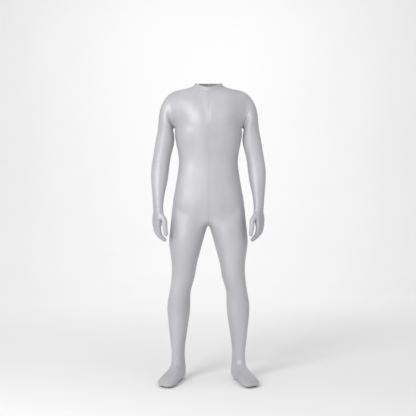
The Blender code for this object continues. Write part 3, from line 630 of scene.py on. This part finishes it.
def cut_panel(source, name):
    made = bmesh.new()
    made.from_mesh(source)
    number = PANELS.index(name)
    others = [face for face in made.faces if face.material_index != number]
    bmesh.ops.delete(made, geom=others, context="FACES")
    made.normal_update()
    slit = [edge for edge in made.edges if edge.seam and not edge.is_boundary]
    if name == "collar":
        bmesh.ops.split_edges(made, edges=slit)
    moves = {}
    for point in made.verts:
        edges = [edge for edge in point.link_edges if edge.is_boundary and edge.seam]
        if not edges:
            continue
        if point.co.x == 0 and point.co.y > 0 and point.co.z > zip_low - DART:
            # The collar is one piece with a slit, so its two ends are told apart by their faces.
            middle = sum((face.calc_center_median().x for face in point.link_faces))
            half_gap = max(gap_at(point.co.z), SEAM_HALF_GAP)
            moves[point] = Vector((math.copysign(half_gap, middle), 0, 0))
            continue
        inward = Vector()
        for edge in edges:
            face = edge.link_faces[0]
            across = face.normal.cross(edge.verts[1].co - edge.verts[0].co).normalized()
            middle = (edge.verts[0].co + edge.verts[1].co) / 2
            inward += across if across.dot(face.calc_center_median() - middle) > 0 else -across
        if inward.length > 0.1:
            moves[point] = inward.normalized() * SEAM_HALF_GAP
    for point, move in moves.items():
        point.co += move
    mesh = bpy.data.meshes.new(name + "_cloth")
    made.to_mesh(mesh)
    made.free()
    mesh.materials.clear()
    mesh.polygons.foreach_set("material_index", [0] * len(mesh.polygons))
    mesh.shade_smooth()
    panel = bpy.data.objects.new(name + "_cloth", mesh)
    bpy.context.scene.collection.objects.link(panel)
    wall = panel.modifiers.new("Wall", "SOLIDIFY")
    wall.thickness = WALLS.get(name, CLOTH_WALL)
    wall.offset = -1
    wall.use_even_offset = False
    return panel


# The cut edge is sharper than this angle, so the shading stops there and doesn't run onto the cloth.
CUT_EDGE = 40
panels = {}
for name in PANELS:
    panel = cut_panel(medium if name.startswith("glove") else fine, name)
    apply_modifiers(panel)
    bpy.ops.object.shade_smooth_by_angle(angle=math.radians(CUT_EDGE))
    panels[name] = panel
    print(panel.name, "faces:", len(panel.data.polygons))
bpy.data.objects.remove(skin)

# %% [markdown]
# Inside a stretch suit every seam is overlocked: a narrow double edge of cloth, wrapped in thread, lies
# flat behind the seam. It closes the slit between two panels, and it is what shows through the neck
# hole. It is made of the faces beside each seam, moved behind the wall and thickened.

# %% Seam allowances
ALLOWANCE_BEHIND = 0.00025
ALLOWANCE_THICK = 0.0006


def seam_allowances(source):
    made = bmesh.new()
    made.from_mesh(source)
    gloves = {i for i, name in enumerate(PANELS) if name.startswith("glove")}
    seam_points = {v for edge in made.edges if edge.seam and not edge.is_boundary for v in edge.verts}
    spare = [
        face
        for face in made.faces
        if face.material_index in gloves
        or not seam_points.intersection(face.verts)
        or any(v.co.x == 0 and v.co.y > 0 and v.co.z > zip_low for v in face.verts)
    ]
    made.normal_update()
    places = {v: v.co - v.normal * (COLLAR_WALL + ALLOWANCE_BEHIND) for v in made.verts}
    for point, place in places.items():
        point.co = place
    bmesh.ops.delete(made, geom=spare, context="FACES")
    mesh = bpy.data.meshes.new("seam_allowances")
    made.to_mesh(mesh)
    made.free()
    mesh.materials.clear()
    mesh.polygons.foreach_set("material_index", [0] * len(mesh.polygons))
    mesh.shade_smooth()
    strip = bpy.data.objects.new("seam_allowances", mesh)
    bpy.context.scene.collection.objects.link(strip)
    wall = strip.modifiers.new("Wall", "SOLIDIFY")
    wall.thickness = ALLOWANCE_THICK
    wall.offset = -1
    apply_modifiers(strip)
    return strip


allowances = seam_allowances(fine)
print("seam allowance faces:", len(allowances.data.polygons))

# %% [markdown]
# A zip is made flat and sewn in flat, so it is modelled flat, hanging down from the origin, and bent
# onto the back afterwards. X stays across, the distance down the zip is measured along the middle of
# the back, and Y stands off the cloth.

# %% The way down the back
cloth_tree = BVHTree.FromPolygons(
    [v.co for v in fine.vertices], [tuple(p.vertices) for p in fine.polygons]
)
PROBE = 0.0085


def back_surface(x, z):
    hit, normal, _, _ = cloth_tree.ray_cast(Vector((x, 1, z)), Vector((0, -1, 0)))
    return hit, normal


collar_top = max(fine.vertices[i].co.z for i in middle_of_back(fine))
HEIGHTS = np.linspace(collar_top - 0.0005, zip_low - 0.01, 220)
track, track_normals, falls = [], [], []
for height in HEIGHTS:
    hit, normal = back_surface(0.0, height)
    if hit is None:
        continue
    beside = [back_surface(side * PROBE, height)[0] for side in (-1, 1)]
    beside = [place for place in beside if place is not None]
    fall = hit.y - sum(place.y for place in beside) / len(beside) if beside else 0.0
    track.append(hit[:])
    track_normals.append(Vector((0, normal.y, normal.z)).normalized()[:])
    falls.append(fall / PROBE**2)
track, track_normals, falls = np.array(track), np.array(track_normals), np.array(falls)
SMOOTHING = np.ones(9) / 9
for i in (1, 2):
    padded = np.pad(track_normals[:, i], 4, mode="edge")
    track_normals[:, i] = np.convolve(padded, SMOOTHING, "valid")
falls = np.convolve(np.pad(falls, 4, mode="edge"), SMOOTHING, "valid")
travel = np.concatenate([[0], np.cumsum(np.linalg.norm(np.diff(track, axis=0), axis=1))])
print(f"from the collar's top edge to the zip's end: {travel[-1]:.3f} m")


def along_back(values, distance):
    return np.interp(distance, travel, values)


def lay_on_back(obj):
    """Bends a flat piece onto the back: -Z becomes the way down, and Y the way off the cloth."""
    places = coordinates(obj.data)
    distance, lift = -places[:, 2], places[:, 1]
    centre = np.stack([along_back(track[:, i], distance) for i in range(3)], axis=1)
    normal = np.stack([along_back(track_normals[:, i], distance) for i in range(3)], axis=1)
    # Past the ends of the way down, a piece goes straight on.
    over = distance - np.clip(distance, 0, travel[-1])
    down = np.stack([np.zeros(len(normal)), normal[:, 2], -normal[:, 1]], axis=1)
    fall = along_back(falls, distance) * places[:, 0] ** 2
    bent = centre + down * over[:, None] + normal * lift[:, None]
    bent[:, 0] += places[:, 0]
    bent[:, 1] -= fall
    set_coordinates(obj.data, bent)


# %% [markdown]
# The tape is woven, 17 mm wide, and stands a little higher in the middle, where the coil is sewn on.
# It is a grid that is cut to the zip's length, shaped across, and bent onto the back.

# %% Zip tape
TAPE_HALF = 0.0085
TAPE_STEPS = 128
TAPE_DEEP = -0.0016
TAPE_HIGH = -0.0009
TAPE_THICK = 0.0005
COLLAR_DROP = 0.0007
zip_length = travel[-1] - 0.004
collar_length = 0.0245

bpy.ops.mesh.primitive_grid_add(x_subdivisions=10, y_subdivisions=TAPE_STEPS, size=1)
tape = bpy.context.object
tape.name = "zip_tape_woven"
tape.scale = (TAPE_HALF * 2, zip_length, 1)
tape.rotation_euler = (math.radians(90), 0, 0)
bpy.ops.object.transform_apply(location=True, rotation=True, scale=True)
places = coordinates(tape.data)
places[:, 2] -= zip_length / 2
raised = 1 / (1 + (np.abs(places[:, 0]) / 0.0030) ** 8)
places[:, 1] = TAPE_DEEP + (TAPE_HIGH - TAPE_DEEP) * raised
behind_collar = 1 - np.clip((-places[:, 2] - collar_length) / 0.006, 0, 1)
places[:, 1] -= COLLAR_DROP * behind_collar * (1 - raised)
uv = tape.data.uv_layers.active.data
for loop in tape.data.loops:
    x, _, z = places[loop.vertex_index]
    uv[loop.index].uv = (x, z)
set_coordinates(tape.data, places)
lay_on_back(tape)
wall = tape.modifiers.new("Wall", "SOLIDIFY")
wall.thickness = TAPE_THICK
wall.offset = 1
only(tape)
bpy.ops.object.mode_set(mode="EDIT")
bpy.ops.mesh.select_all(action="SELECT")
bpy.ops.mesh.normals_make_consistent(inside=False)
bpy.ops.object.mode_set(mode="OBJECT")
apply_modifiers(tape)
bpy.ops.object.shade_smooth()
print("tape:", [round(side, 3) for side in tape.dimensions])

# %% [markdown]
# A coil zip's teeth are the turns of a nylon spiral. From outside they read as short rounded bars,
# one from each side in turn, that cross in the middle. One bar is modelled, an Array repeats it down
# the zip, and the other side is a copy, half a step lower.

# %% Zip coil
TOOTH_PITCH = 0.00115
TOOTH_RADIUS = 0.00038
TOOTH_OUT = 0.0021
TOOTH_IN = 0.0006
TOOTH_LIFT = -0.00035
FIRST_TOOTH = 0.004


def coil_side(side, start):
    middle = side * (TOOTH_OUT - TOOTH_IN) / 2
    bpy.ops.mesh.primitive_cylinder_add(
        vertices=8,
        radius=TOOTH_RADIUS,
        depth=TOOTH_OUT + TOOTH_IN,
        location=(middle, TOOTH_LIFT, -start),
        rotation=(0, math.radians(90), 0),
    )
    row = bpy.context.object
    row.name = "zip_coil_left" if side > 0 else "zip_coil_right"
    bpy.ops.object.transform_apply(location=True, rotation=True, scale=True)
    bpy.ops.object.mode_set(mode="EDIT")
    bpy.ops.mesh.select_all(action="SELECT")
    bpy.ops.mesh.bevel(offset=TOOTH_RADIUS * 0.4, segments=1, affect="EDGES", clamp_overlap=True)
    bpy.ops.object.mode_set(mode="OBJECT")
    repeat = row.modifiers.new("Repeat", "ARRAY")
    repeat.use_relative_offset = False
    repeat.use_constant_offset = True
    repeat.constant_offset_displace = (0, 0, -TOOTH_PITCH)
    repeat.count = int((zip_length - start - 0.018) / TOOTH_PITCH)
    apply_modifiers(row)
    lay_on_back(row)
    bpy.ops.object.shade_smooth_by_angle(angle=math.radians(50))
    return row


coil = [coil_side(1, FIRST_TOOTH), coil_side(-1, FIRST_TOOTH + TOOTH_PITCH / 2)]
print("teeth faces:", [len(row.data.polygons) for row in coil])

# %% [markdown]
# The zip is held by a line of lockstitch on each side and a bar tack across its lower end. A stitch
# is a short soft bead of thread that is pulled down into the cloth at both ends. Stitches are placed
# one by one along a line of points with the cloth's own direction outwards.

# %% Stitches
STITCH_LENGTH = 0.0026
STITCH_GAP = 0.0006
THREAD_RADIUS = 0.00022
STITCH_RING = 6
STITCH_SHAPE = ((0.0, 0.35, -0.9), (0.2, 0.9, 0.1), (0.5, 1.0, 0.35), (0.8, 0.9, 0.1), (1.0, 0.35, -0.9))


def stitch_points(start, end, normal):
    """Rings of one stitch, from start to end, each with its width and its lift off the cloth."""
    along = end - start
    across = along.cross(normal).normalized()
    for share, width, lift in STITCH_SHAPE:
        middle = start + along * share + normal * (THREAD_RADIUS * lift)
        for i in range(STITCH_RING):
            angle = math.tau * i / STITCH_RING
            spoke = across * math.cos(angle) + normal * math.sin(angle)
            yield middle + spoke * (THREAD_RADIUS * width)


def sew(name, lines):
    """One piece with a stitch for every place in the lines, each a (start, end, outward) row."""
    points, faces = [], []
    rings = len(STITCH_SHAPE)
    for start, end, normal in lines:
        first = len(points)
        points += stitch_points(start, end, normal)
        for ring in range(rings - 1):
            for i in range(STITCH_RING):
                a, b = first + ring * STITCH_RING + i, first + ring * STITCH_RING + (i + 1) % STITCH_RING
                faces.append((a, b, b + STITCH_RING, a + STITCH_RING))
        faces.append(tuple(first + i for i in reversed(range(STITCH_RING))))
        faces.append(tuple(first + (rings - 1) * STITCH_RING + i for i in range(STITCH_RING)))
    mesh = bpy.data.meshes.new(name)
    mesh.from_pydata(points, [], faces)
    mesh.shade_smooth()
    piece = bpy.data.objects.new(name, mesh)
    bpy.context.scene.collection.objects.link(piece)
    only(piece)
    bpy.ops.object.mode_set(mode="EDIT")
    bpy.ops.mesh.select_all(action="SELECT")
    bpy.ops.mesh.normals_make_consistent(inside=False)
    bpy.ops.object.mode_set(mode="OBJECT")
    print(name, "stitches:", len(lines))
    return piece


def steps_along(path):
    """Cuts a path of points into stitches: starts and ends by distance."""
    path = np.array(path)
    run = np.concatenate([[0], np.cumsum(np.linalg.norm(np.diff(path, axis=0), axis=1))])
    count = int(run[-1] / (STITCH_LENGTH + STITCH_GAP))
    step = run[-1] / count
    for i in range(count):
        ends = [i * step, i * step + step - STITCH_GAP]
        yield [Vector([np.interp(end, run, path[:, axis]) for axis in range(3)]) for end in ends]


def on_cloth(start, end):
    """Puts a stitch's ends on the cloth, and adds the way outwards there."""
    (start, normal, _, _), (end, _, _, _) = cloth_tree.find_nearest(start), cloth_tree.find_nearest(end)
    return start, end, normal


ZIP_STITCH_X = 0.0056
BAR_TACKS = 4
zip_lines = []
for side in (-1, 1):
    reach = np.linspace(0.001, zip_length - 0.004, 200)
    path = [
        [side * ZIP_STITCH_X, along_back(track[:, 1], s), along_back(track[:, 2], s)] for s in reach
    ]
    zip_lines += [on_cloth(*ends) for ends in steps_along(path)]
low = along_back(track[:, 2], zip_length - 0.003)
for i in range(BAR_TACKS):
    height = low - i * THREAD_RADIUS * 1.6
    y = back_surface(0, height)[0].y
    path = [[-ZIP_STITCH_X, y, height], [ZIP_STITCH_X, y, height]]
    zip_lines += [on_cloth(*ends) for ends in steps_along(path)]
zip_stitches = sew("zip_stitches", zip_lines)

# %% [markdown]
# The collar and the cuffs have a twin-needle line beside their seam. The seam's points give the
# line: each is moved away from the seam along the cloth.


# %% Twin-needle lines
def seam_loops(mesh, first, others):
    """Closed or open rows of points along the seams between one panel and some others."""
    owners = {}
    for polygon in mesh.polygons:
        for key in polygon.edge_keys:
            owners.setdefault(key, []).append(polygon.material_index)
    first = {PANELS.index(name) for name in first}
    others = {PANELS.index(name) for name in others}
    links = {}
    for (a, b), marks in owners.items():
        if len(marks) == 2 and (
            (marks[0] in first and marks[1] in others) or (marks[1] in first and marks[0] in others)
        ):
            links.setdefault(a, []).append(b)
            links.setdefault(b, []).append(a)
    loops, used = [], set()
    starts = sorted(links, key=lambda i: len(links[i]))
    for start in starts:
        if start in used:
            continue
        loop, here = [start], start
        used.add(start)
        while True:
            onward = [i for i in links[here] if i not in used]
            if not onward:
                break
            here = onward[0]
            used.add(here)
            loop.append(here)
        if len(links[start]) == 2:
            loop.append(start)
        loops.append(loop)
    return loops


def beside_seam(mesh, loop, offset):
    """The loop moved along the cloth, to its left for a positive offset."""
    places = [mesh.vertices[i].co for i in loop]
    moved = []
    for i, place in enumerate(places):
        along = places[min(i + 1, len(places) - 1)] - places[max(i - 1, 0)]
        normal = mesh.vertices[loop[i]].normal
        moved.append(place + normal.cross(along).normalized() * offset)
    return moved


NEEDLES = (0.0016, 0.0042)
BODY = ("front_left", "front_right", "back_left", "back_right")
twin_lines = []
for loop in seam_loops(fine, ("collar",), BODY):
    for offset in NEEDLES:
        both = [beside_seam(fine, loop, sign * offset) for sign in (-1, 1)]
        lower = min(both, key=lambda path: sum(place.z for place in path))
        twin_lines += [on_cloth(*ends) for ends in steps_along(lower)]
for side in ("left", "right"):
    gloves = (f"glove_back_{side}", f"glove_palm_{side}")
    for loop in seam_loops(fine, (f"sleeve_{side}",), gloves):
        for offset in NEEDLES:
            both = [beside_seam(fine, loop, sign * offset) for sign in (-1, 1)]
            upper = max(both, key=lambda path: sum(place.z for place in path))
            twin_lines += [on_cloth(*ends) for ends in steps_along(upper)]
twin_stitches = sew("twin_needle_stitches", twin_lines)

# %% [markdown]
# The slider is cast metal: a shield that is widest at the top, where the two rows of teeth come in,
# with a bridge that the pull tab hangs on. The shield starts as a cube. Its lower end is scaled in,
# its outer face is inset and raised, and its edges are rounded by a Bevel.

# %% Slider
slider_low, slider_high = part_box("zip_slider")
slider_z = (slider_low[2] + slider_high[2]) / 2
slider_at = float(np.interp(-slider_z, -track[:, 2], travel))
SLIDER_WIDTH = 0.0078
SLIDER_LENGTH = 0.0108
SLIDER_THICK = 0.0024
SEAT = 0.0004
BRIDGE_RISE = 0.0036


def hang(obj):
    """Puts a flat piece's own origin at the slider's place on the back, turned with the back."""
    places = coordinates(obj.data)
    centre = [along_back(track[:, i], slider_at) for i in range(3)]
    normal = Vector([along_back(track_normals[:, i], slider_at) for i in range(3)])
    up = Vector((0, -normal.z, normal.y))
    placed = np.outer(places[:, 0], (1, 0, 0)) + np.outer(places[:, 1], normal) + np.outer(places[:, 2], up)
    set_coordinates(obj.data, placed + np.array(centre))


bpy.ops.mesh.primitive_cube_add(size=1, location=(0, SEAT + SLIDER_THICK / 2, 0))
slider = bpy.context.object
slider.name = "zip_slider_cast"
slider.scale = (SLIDER_WIDTH, SLIDER_THICK, SLIDER_LENGTH)
bpy.ops.object.transform_apply(location=True, rotation=True, scale=True)
bpy.ops.object.mode_set(mode="EDIT")
bpy.ops.mesh.subdivide(number_cuts=3)
bpy.ops.mesh.select_mode(type="VERT")
for below, narrow in ((-0.0051, 0.58), (-0.0026, 0.80), (0.0051, 0.90)):
    above = below + 0.0001 if below < 0 else 1
    floor = below - 0.0005 if below < 0 else below
    select_where(slider, "verts", lambda place: floor < place.z < above)
    bpy.ops.transform.resize(value=(narrow, 1, 1), center_override=(0, 0, 0))
bpy.ops.mesh.select_mode(type="FACE")
select_where(
    slider,
    "faces",
    lambda place: place.y > SEAT + SLIDER_THICK - 0.0001 and abs(place.x) < 0.0024 and abs(place.z) < 0.0036,
)
bpy.ops.mesh.inset(thickness=0.0004, depth=0.0004)
bpy.ops.object.mode_set(mode="OBJECT")
edge = slider.modifiers.new("Edge", "BEVEL")
edge.width = 0.00022
edge.segments = 2
edge.limit_method = "ANGLE"
edge.angle_limit = math.radians(40)
apply_modifiers(slider)
# The bridge is a flat bar, bent into an arch by extruding it point by point.
bpy.ops.mesh.primitive_cube_add(size=1, location=(0, 0, 0))
bridge = bpy.context.object
bridge.name = "slider_bridge"
BAR = 0.0012
top_y = SEAT + SLIDER_THICK + BRIDGE_RISE - 0.0006
bridge.scale = (0.0024, BAR, 0.0016)
bpy.ops.object.transform_apply(scale=True)
bpy.ops.object.mode_set(mode="EDIT")
bpy.ops.transform.translate(value=(0, top_y - BAR / 2, 0))
bpy.ops.mesh.select_mode(type="FACE")
for end in (-1, 1):
    select_where(bridge, "faces", lambda place: place.z * end > 0.0007)
    bpy.ops.mesh.extrude_region_move(TRANSFORM_OT_translate={"value": (0, 0, end * 0.0022)})
    bpy.ops.mesh.extrude_region_move(TRANSFORM_OT_translate={"value": (0, -0.0008, end * 0.0010)})
    bpy.ops.transform.rotate(value=-end * math.radians(35), orient_axis="X")
    bpy.ops.mesh.extrude_region_move(TRANSFORM_OT_translate={"value": (0, -0.0010, end * 0.0002)})
    bpy.ops.transform.rotate(value=-end * math.radians(35), orient_axis="X")
    bpy.ops.mesh.extrude_region_move(TRANSFORM_OT_translate={"value": (0, -0.0018, 0)})
bpy.ops.object.mode_set(mode="OBJECT")
bpy.ops.object.select_all(action="DESELECT")
bridge.select_set(True)
slider.select_set(True)
bpy.context.view_layer.objects.active = slider
bpy.ops.object.join()
hang(slider)
only(slider)
bpy.ops.object.shade_smooth_by_angle(angle=math.radians(35))
print("slider faces:", len(slider.data.polygons))

# %% [markdown]
# The pull tab is stamped from sheet metal. A flat grid gives its outline: the columns spread towards
# the lower end, the faces of the eye are deleted, and a Solidify and a Subdivision Surface give it
# thickness and soft edges. It turns about the slider's bridge, so it rides on its own body.

# %% Pull tab
PULL_LEAN = math.radians(24.2)
PULL_LENGTH = 0.0270
PULL_TOP = 0.0006
PULL_THICK = 0.0010
EYE_HALF = 0.0018
# Each row is a share of the tab's length and the tab's width there. The eye lies between two rows.
EYE = (0.06, 0.26)
PULL_ROWS = (
    (0.0, 0.0054),
    (EYE[0], 0.0062),
    (EYE[1], 0.0062),
    (0.34, 0.0056),
    (0.60, 0.0060),
    (0.88, 0.0066),
    (1.0, 0.0050),
)
pivot = Vector(frame["record"]["behaviour"]["joints"][0]["pos_m"])

bpy.ops.mesh.primitive_grid_add(x_subdivisions=4, y_subdivisions=len(PULL_ROWS) - 1, size=1)
pull = bpy.context.object
pull.name = "zip_pull_tab"
places = coordinates(pull.data)
row_of = np.rint((0.5 - places[:, 1]) * (len(PULL_ROWS) - 1)).astype(int)
columns = np.rint((places[:, 0] + 0.5) * 4).astype(int)
SPREAD = (-0.5, -0.29, 0.0, 0.29, 0.5)
widths = np.array([PULL_ROWS[row][1] for row in row_of])
downs = np.array([PULL_ROWS[row][0] for row in row_of]) * (PULL_LENGTH + PULL_TOP) - PULL_TOP
flat = np.stack([widths * np.array(SPREAD)[columns], np.zeros(len(widths)), -downs], axis=1)
set_coordinates(pull.data, flat)
bpy.ops.object.mode_set(mode="EDIT")
bpy.ops.mesh.select_mode(type="FACE")


def in_eye(place):
    share = (-place.z + PULL_TOP) / (PULL_LENGTH + PULL_TOP)
    return EYE[0] < share < EYE[1] and abs(place.x) < EYE_HALF


select_where(pull, "faces", in_eye)
bpy.ops.mesh.delete(type="FACE")
bpy.ops.mesh.select_all(action="SELECT")
bpy.ops.mesh.normals_make_consistent(inside=False)
bpy.ops.object.mode_set(mode="OBJECT")
wall = pull.modifiers.new("Wall", "SOLIDIFY")
wall.thickness = PULL_THICK
wall.offset = 0
edge = pull.modifiers.new("Edge", "BEVEL")
edge.width = 0.0002
edge.segments = 1
edge.limit_method = "ANGLE"
edge.angle_limit = math.radians(50)
smoothing = pull.modifiers.new("Smooth", "SUBSURF")
smoothing.levels = smoothing.render_levels = 2
apply_modifiers(pull)
places = coordinates(pull.data)
turn = np.array(Matrix.Rotation(PULL_LEAN, 3, "X"))
set_coordinates(pull.data, places @ turn.T + np.array(pivot))
bpy.ops.object.shade_smooth()
print("pull tab box:", [round(side * 1000, 1) for side in pull.dimensions])

# %% [markdown]
# Shader maths reads best as sums. A small class wraps a node's output, so that adding or multiplying
# two of them adds the Math node.


# %% A class for shader maths
class Wire:
    """One output of a material's nodes, or the start of a chain when it has none."""

    def __init__(self, tree, socket=None):
        self.tree = tree
        self.socket = socket

    def node(self, kind, inputs=(), output=0, **settings):
        """Adds any node: settings first, then the values or links of its sockets."""
        made = self.tree.nodes.new("ShaderNode" + kind)
        for name, value in settings.items():
            setattr(made, name, value)
        for name, value in dict(inputs).items():
            self.feed(value, made.inputs[name])
        return Wire(self.tree, made.outputs[output])

    def feed(self, value, socket):
        if isinstance(value, Wire):
            self.tree.links.new(value.socket, socket)
        else:
            socket.default_value = value

    def sum(self, operation, *values):
        return self.node("Math", dict(enumerate(values)), operation=operation)

    def __add__(self, other):
        return self.sum("ADD", self, other)

    __radd__ = __add__

    def __mul__(self, other):
        return self.sum("MULTIPLY", self, other)

    __rmul__ = __mul__

    def __sub__(self, other):
        return self.sum("SUBTRACT", self, other)

    def __rsub__(self, other):
        return self.sum("SUBTRACT", other, self)


def finish_named(name, **values):
    """A material with one Principled shader, and the uniform values of its sockets."""
    made = bpy.data.materials.new(name)
    made.use_nodes = True
    shader = made.node_tree.nodes["Principled BSDF"]
    for socket, value in values.items():
        shader.inputs[socket.replace("_", " ").title().replace("Ior", "IOR")].default_value = value
    return made, Wire(made.node_tree), shader


def mixed(start, share, first, second):
    """A colour between two, by a share that changes over the surface."""
    made = start.tree.nodes.new("ShaderNodeMix")
    made.data_type = "RGBA"
    start.feed(share, made.inputs[0])
    start.feed(first, made.inputs[6])
    start.feed(second, made.inputs[7])
    return Wire(start.tree, made.outputs[2])


def flat_map(start):
    """The flat map in metres, and its two directions."""
    flat = start.node("TexCoord", output="UV")
    across = start.node("SeparateXYZ", {"Vector": flat})
    return flat, across, Wire(start.tree, across.socket.node.outputs["Y"])


# %% [markdown]
# The tricot is knitted from bright nylon and elastane. Close to, it has fine upright ribs and an
# uneven grain. From further away it shows soft upright clouds of tone, which are painted satin sheen:
# streaks of light and shade painted into the colour, and partly tone where it is stretched more or
# less. It has a satin light that spreads further than on a hard surface. The ribs and grain are read
# from the flat maps, so that they follow each panel. Seams are painted a little darker, as painted
# shade where the cloth turns down into them.

# %% Silver knit
RIB = 0.0009
COURSE = 0.0007
LIT_GREY = (0.560, 0.558, 0.580, 1)
# The darker grey is the shaded end of the painted satin sheen.
SHEEN_SHADE_GREY = (0.400, 0.398, 0.422, 1)
# Painted shade: the grey that the cloth darkens to in the seams' grooves.
SEAM_SHADE_GREY = (0.300, 0.300, 0.320, 1)

knit, start, shader = finish_named(
    "silver_knit",
    metallic=0.2,
    roughness=0.5,
    specular_ior_level=0.5,
    sheen_weight=0.08,
    sheen_roughness=0.45,
)
flat, across, along = flat_map(start)
ribs = start.sum("SINE", across * (math.tau / RIB))
courses = start.sum("SINE", along * (math.tau / COURSE) + ribs * 1.4)
stretched = start.node("Mapping", {"Vector": flat, "Scale": (1400, 260, 1)})
grain = start.node("TexNoise", {"Vector": stretched, "Scale": 1.0, "Detail": 3.0}, output="Fac")
place = start.node("TexCoord", output="Object")
upright = start.node("Mapping", {"Vector": place, "Scale": (11, 11, 5)})
# These clouds paint satin sheen into the colour, as soft upright streaks of light and shade, and also vary
# the gloss.
sheen_clouds = start.node("TexNoise", {"Vector": upright, "Scale": 1.0, "Detail": 2.0}, output="Fac")
seam = start.node("Attribute", output="Fac", attribute_name="seam")
# Painted sheen: the clouds mix the colour between a lit and a shaded grey.
tone = mixed(start, sheen_clouds * 1.1 + grain * 0.2 - 0.15, LIT_GREY, SHEEN_SHADE_GREY)
# Painted shade along the seams, read from the seam attribute.
tone = mixed(start, seam * 0.10, tone, SEAM_SHADE_GREY)
start.feed(tone, shader.inputs["Base Color"])
start.feed(grain * 0.12 + sheen_clouds * 0.10 + 0.38, shader.inputs["Roughness"])
height = ribs * 0.35 + courses * 0.25 + grain * 0.8
bump = start.node("Bump", {"Height": height, "Strength": 0.35, "Distance": 0.00012}, output="Normal")
start.feed(bump, shader.inputs["Normal"])

# %% [markdown]
# The zip tape is woven in a fine twill, so its bump is a slanted wave across its own map. The coil is
# half clear nylon, smooth and a little glossy. Thread is twisted polyester.

# %% Tape, coil and thread
twill, start, shader = finish_named("woven_tape", roughness=0.78, sheen_weight=0.25)
flat, across, along = flat_map(start)
slant = start.sum("SINE", (across + along) * (math.tau / 0.0008))
weft = start.sum("SINE", along * (math.tau / 0.0005))
place = start.node("TexCoord", output="Object")
fibre = start.node("TexNoise", {"Vector": place, "Scale": 700.0, "Detail": 3.0}, output="Fac")
weave = slant * 0.5 + weft * 0.3 + fibre * 0.4
tone = mixed(start, weave * 0.3 + 0.3, (0.47, 0.47, 0.49, 1), (0.36, 0.36, 0.38, 1))
start.feed(tone, shader.inputs["Base Color"])
start.feed(fibre * 0.15 + 0.70, shader.inputs["Roughness"])
bump = start.node("Bump", {"Height": weave, "Strength": 0.5, "Distance": 0.00012}, output="Normal")
start.feed(bump, shader.inputs["Normal"])

nylon, start, shader = finish_named("nylon_coil", roughness=0.34, specular_ior_level=0.5)
place = start.node("TexCoord", output="Object")
uneven = start.node("TexNoise", {"Vector": place, "Scale": 260.0, "Detail": 2.0}, output="Fac")
start.feed(mixed(start, uneven, (0.62, 0.62, 0.64, 1), (0.50, 0.50, 0.52, 1)), shader.inputs["Base Color"])
start.feed(uneven * 0.12 + 0.28, shader.inputs["Roughness"])

thread, start, shader = finish_named("polyester_thread", roughness=0.55, sheen_weight=0.3)
place = start.node("TexCoord", output="Object")
waves = {"Vector": place, "Scale": 900.0, "Distortion": 1.5}
twist = start.node("TexWave", waves, output="Fac", bands_direction="DIAGONAL")
start.feed(mixed(start, twist, (0.57, 0.57, 0.60, 1), (0.46, 0.46, 0.49, 1)), shader.inputs["Base Color"])
bump = start.node("Bump", {"Height": twist, "Strength": 0.4, "Distance": 0.00006}, output="Normal")
start.feed(bump, shader.inputs["Normal"])

# %% [markdown]
# The slider and its tab are zinc with a satin nickel plating. Brushing leaves fine lines along the
# tab, which are noise that is stretched along Z, and fingers rub it brighter here and there.

# %% Nickel
nickel, start, shader = finish_named("satin_nickel", metallic=1.0, roughness=0.3)
place = start.node("TexCoord", output="Object")
lines = start.node("Mapping", {"Vector": place, "Scale": (2600, 900, 90)})
brushed = start.node("TexNoise", {"Vector": lines, "Scale": 1.0, "Detail": 3.0}, output="Fac")
rubbed = start.node("TexNoise", {"Vector": place, "Scale": 220.0, "Detail": 2.0}, output="Fac")
start.feed(mixed(start, rubbed, (0.70, 0.69, 0.67, 1), (0.58, 0.57, 0.56, 1)), shader.inputs["Base Color"])
start.feed(brushed * 0.16 + rubbed * 0.14 + 0.16, shader.inputs["Roughness"])
bump = start.node("Bump", {"Height": brushed, "Strength": 0.25, "Distance": 0.00005}, output="Normal")
start.feed(bump, shader.inputs["Normal"])

# %% [markdown]
# The sweep is matt paper. It has nothing but a very slight unevenness.

# %% Paper
paper, start, shader = finish_named("paper", roughness=0.9, specular_ior_level=0.1)
place = start.node("TexCoord", output="Object")
mottle = start.node("TexNoise", {"Vector": place, "Scale": 1.2, "Detail": 2.0}, output="Fac")
start.feed(mixed(start, mottle, (0.93, 0.93, 0.93, 1), (0.90, 0.90, 0.90, 1)), shader.inputs["Base Color"])

# %% [markdown]
# The flat cuts of the cloth are smaller than the worn pieces, because the suit is stretched by about a
# sixth when it is on.


# %% Finishes and bodies
def dress(obj, finish, body, slot, *replaced):
    obj.data.materials.clear()
    obj.data.materials.append(finish)
    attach(obj, body)
    if replaced:
        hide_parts(*replaced)


Cut = namedtuple("Cut", "width length area")
sweep.data.materials.append(paper)
for name, panel in panels.items():
    dress(panel, knit, "suit", "silver_knit", name)
dress(allowances, knit, "suit", "silver_knit")
# The seams are 8.54 m long when worn and the strips 7.1 mm wide. A flat width can't be stated under
# 10 mm.
dress(tape, twill, "suit", "zip_tape", "zip_tape")
for row in coil:
    dress(row, nylon, "suit", "zip_tape")
dress(zip_stitches, thread, "suit", "silver_knit")
dress(twin_stitches, thread, "suit", "silver_knit")
dress(slider, nickel, "suit", "zip_metal", "zip_slider")
dress(pull, nickel, "pull", "zip_metal", "zip_pull")
for mark in MARKS:
    bpy.data.materials.remove(mark)
